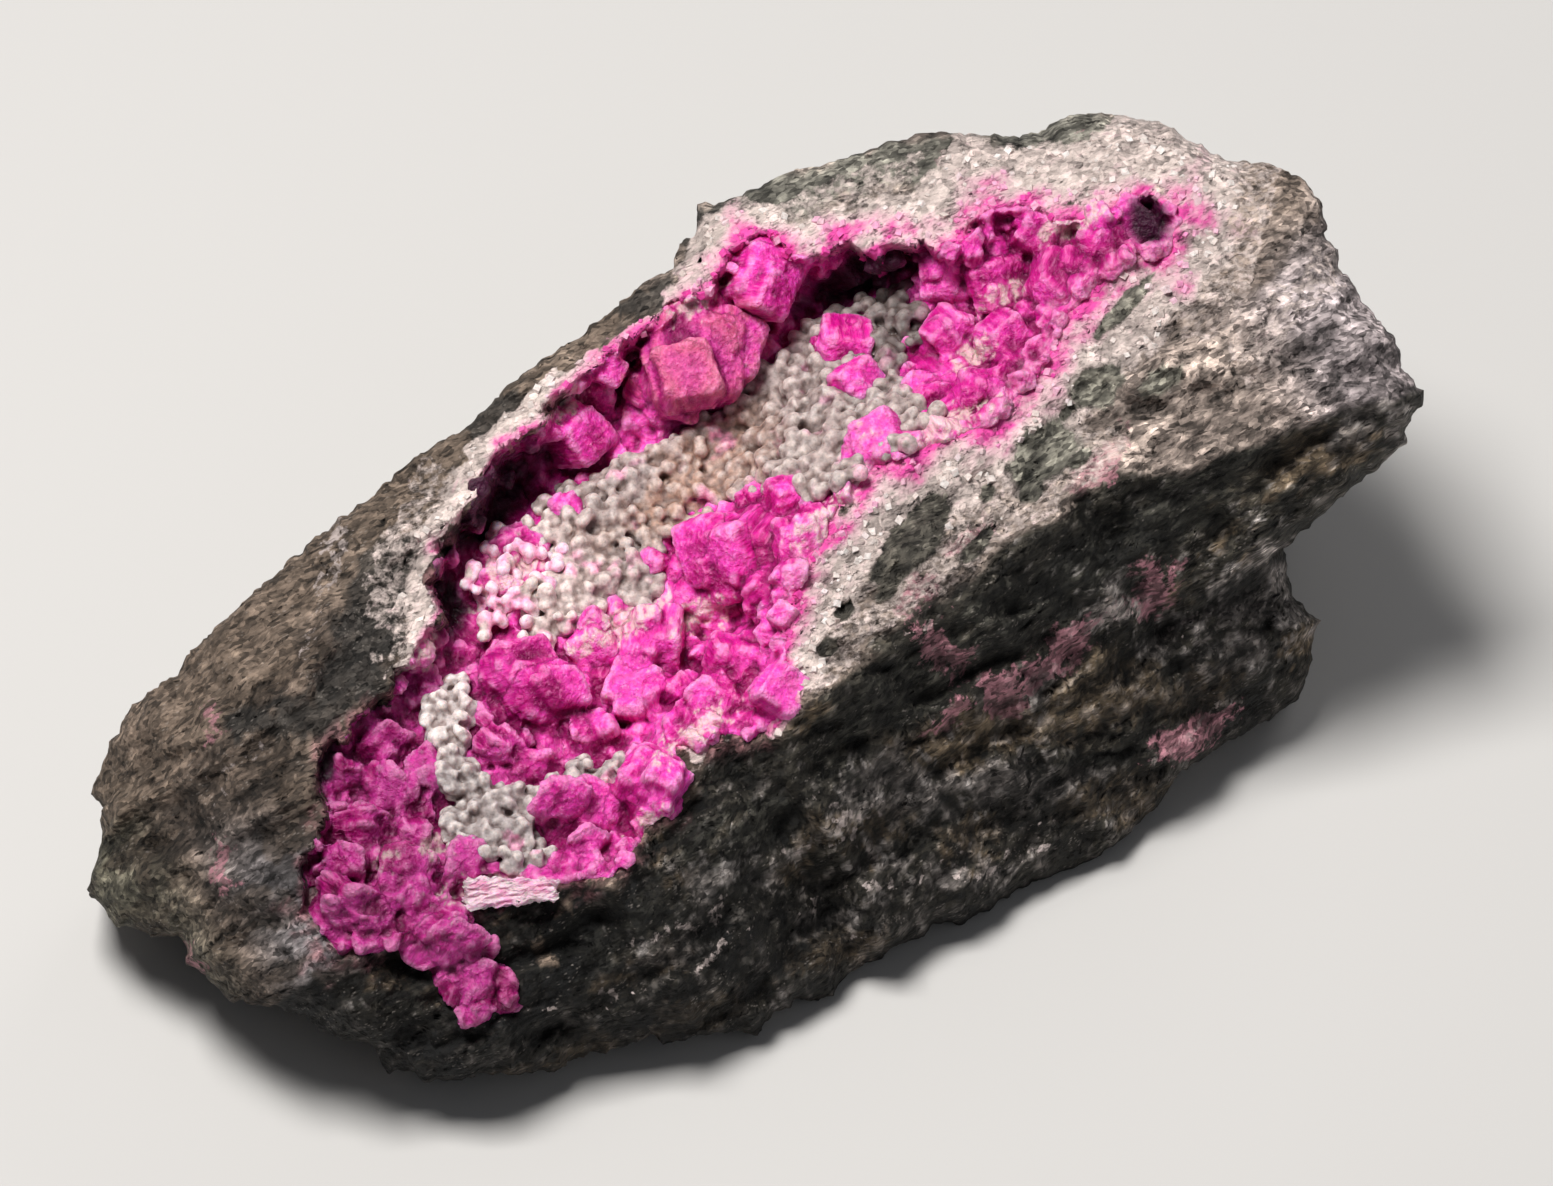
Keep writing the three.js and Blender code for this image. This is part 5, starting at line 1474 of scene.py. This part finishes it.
RIM_CREAM = (0.660, 0.550, 0.510)
RIM_WHITE = (0.880, 0.800, 0.770)
RIM_PINK = (0.900, 0.400, 0.600)
RIM_MAGENTA = (0.820, 0.060, 0.380)

rim_rng = np.random.default_rng(305)
on_calcite = smooth(0.46, 0.66, fields["calcite"]) * (1 - smooth(0.4, 0.55, fields["clast"]))
outside = edge_distance(CRUST_OUTLINE, stone_a, stone_b) < 0.4
chosen = outside & (stone_full > 0.6) & (rim_rng.random(stone_a.shape) < RIM_SHARE * on_calcite)
rim_width = rim_rng.uniform(0.3, 0.9, chosen.sum())
rim_rows = np.column_stack([
    stone_a[chosen], stone_b[chosen], front_w[chosen] - RIM_SUNK * rim_width, rim_width,
    rim_rng.uniform(0, 80, chosen.sum()), rim_rng.uniform(0, 360, chosen.sum()),
    rim_rng.uniform(0, 120, chosen.sum()),
])
rim_points, rim_faces = crystals(rim_rows, 1, 40.0, 0.05, 311)
rim_piece = new_piece("white_calcite_rim_grains", to_frame(rim_points), rim_faces.tolist(), flat=True)
rim_tone = rim_rng.uniform(0, 1, len(rim_rows))
rim_colour = mix(RIM_CREAM, RIM_WHITE, rim_tone)
rim_flush = fields["flush"][chosen] + 0.5 * (rim_tone - 0.5)
rim_colour = mix(rim_colour, RIM_PINK, smooth(0.2, 0.6, rim_flush))
rim_colour = mix(rim_colour, RIM_MAGENTA, smooth(0.75, 1.0, rim_flush))
add_values(rim_piece, "crystal_colour", np.repeat(rim_colour, len(rim_points) // len(rim_rows), axis=0))
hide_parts("host_rock")

sugary = Finish("Sugary white calcite")
sugar_grain = sugary.grain(2600)
rim_stored = sugary.stored("crystal_colour")["Color"]
mottled = sugary.toned(rim_stored, sugar_grain["Mottle"], 0.36, 0.64, 0.8, 1.15)
sugary.links.new(mottled, sugary.shader.inputs["Base Color"])
sugary.links.new(sugary.bump(sugar_grain["Mottle"], 0.0002), sugary.shader.inputs["Normal"])
sugary.shader.inputs["Roughness"].default_value = 0.4
sugary.shader.inputs["Subsurface Weight"].default_value = 0.3
sugary.shader.inputs["Subsurface Radius"].default_value = (1.0, 0.75, 0.75)
sugary.shader.inputs["Subsurface Scale"].default_value = 0.0006
rim_piece.data.materials.append(sugary.material)


# The studio. A plain pale floor, a soft main light from overhead and a little behind, a weak one from
# the front, and a long lens square to the show face.

LENS_MM = 400.0
FILM_MM = 36.0
PICTURE_WIDTH_PX = 1553
MM_PER_PX = 0.09
LOOK_AT = np.array([1.6, -0.2, 11.0])
FLOOR_HALF = 2.0

floor_mesh = bpy.data.meshes.new("studio_floor")
floor_corners = [(-FLOOR_HALF, -FLOOR_HALF, 0), (FLOOR_HALF, -FLOOR_HALF, 0),
                 (FLOOR_HALF, FLOOR_HALF, 0), (-FLOOR_HALF, FLOOR_HALF, 0)]
floor_mesh.from_pydata(floor_corners, [], [(0, 1, 2, 3)])
floor = bpy.data.objects.new("studio_floor", floor_mesh)
bpy.context.scene.collection.objects.link(floor)
paper = Finish("Pale studio paper")
paper.shader.inputs["Base Color"].default_value = (0.56, 0.55, 0.54, 1)
paper.shader.inputs["Roughness"].default_value = 0.9
floor.data.materials.append(paper.material)

camera_data = bpy.data.cameras.new("camera")
camera_data.lens = LENS_MM
camera_data.sensor_width = FILM_MM
camera_data.clip_end = 10
camera = bpy.data.objects.new("camera", camera_data)
bpy.context.scene.collection.objects.link(camera)
across = FACE_TO_FRAME @ np.array([np.cos(FACE_TURN), -np.sin(FACE_TURN), 0])
upward = FACE_TO_FRAME @ np.array([np.sin(FACE_TURN), np.cos(FACE_TURN), 0])
back = FACE_TO_FRAME @ np.array([0, 0, 1.0])
distance = LENS_MM / FILM_MM * PICTURE_WIDTH_PX * MM_PER_PX / 1000
camera_matrix = np.eye(4)
camera_matrix[:3, :3] = np.column_stack([across, upward, back])
camera_matrix[:3, 3] = to_frame(LOOK_AT[None])[0] + back * distance
camera.matrix_world = Matrix(camera_matrix.tolist())
bpy.context.scene.camera = camera

# Name, place in metres, side in metres, watts and colour of each light.

LIGHTS = (
    ("key", (-0.16, 0.08, 0.72), 0.24, 7.2, (1.0, 0.98, 0.95)),
    ("fill", (0.25, -0.80, 0.50), 0.90, 0.55, (0.95, 0.97, 1.0)),
    ("side", (0.70, 0.25, 0.45), 0.50, 1.2, (1.0, 0.98, 0.96)),
)
for name, place, side, watts, colour in LIGHTS:
    light_data = bpy.data.lights.new(name, "AREA")
    light_data.shape = "SQUARE"
    light_data.size = side
    light_data.energy = watts
    light_data.color = colour
    light = bpy.data.objects.new(name, light_data)
    light.location = place
    light.rotation_euler = (Vector((0, 0, 0.02)) - light.location).to_track_quat("-Z", "Y").to_euler()
    bpy.context.scene.collection.objects.link(light)

world = bpy.data.worlds.new("studio")
world.use_nodes = True
world.node_tree.nodes["Background"].inputs["Color"].default_value = (0.9, 0.93, 1.0, 1)
world.node_tree.nodes["Background"].inputs["Strength"].default_value = 0.10
bpy.context.scene.world = world
bpy.context.scene.view_settings.view_transform = "Standard"
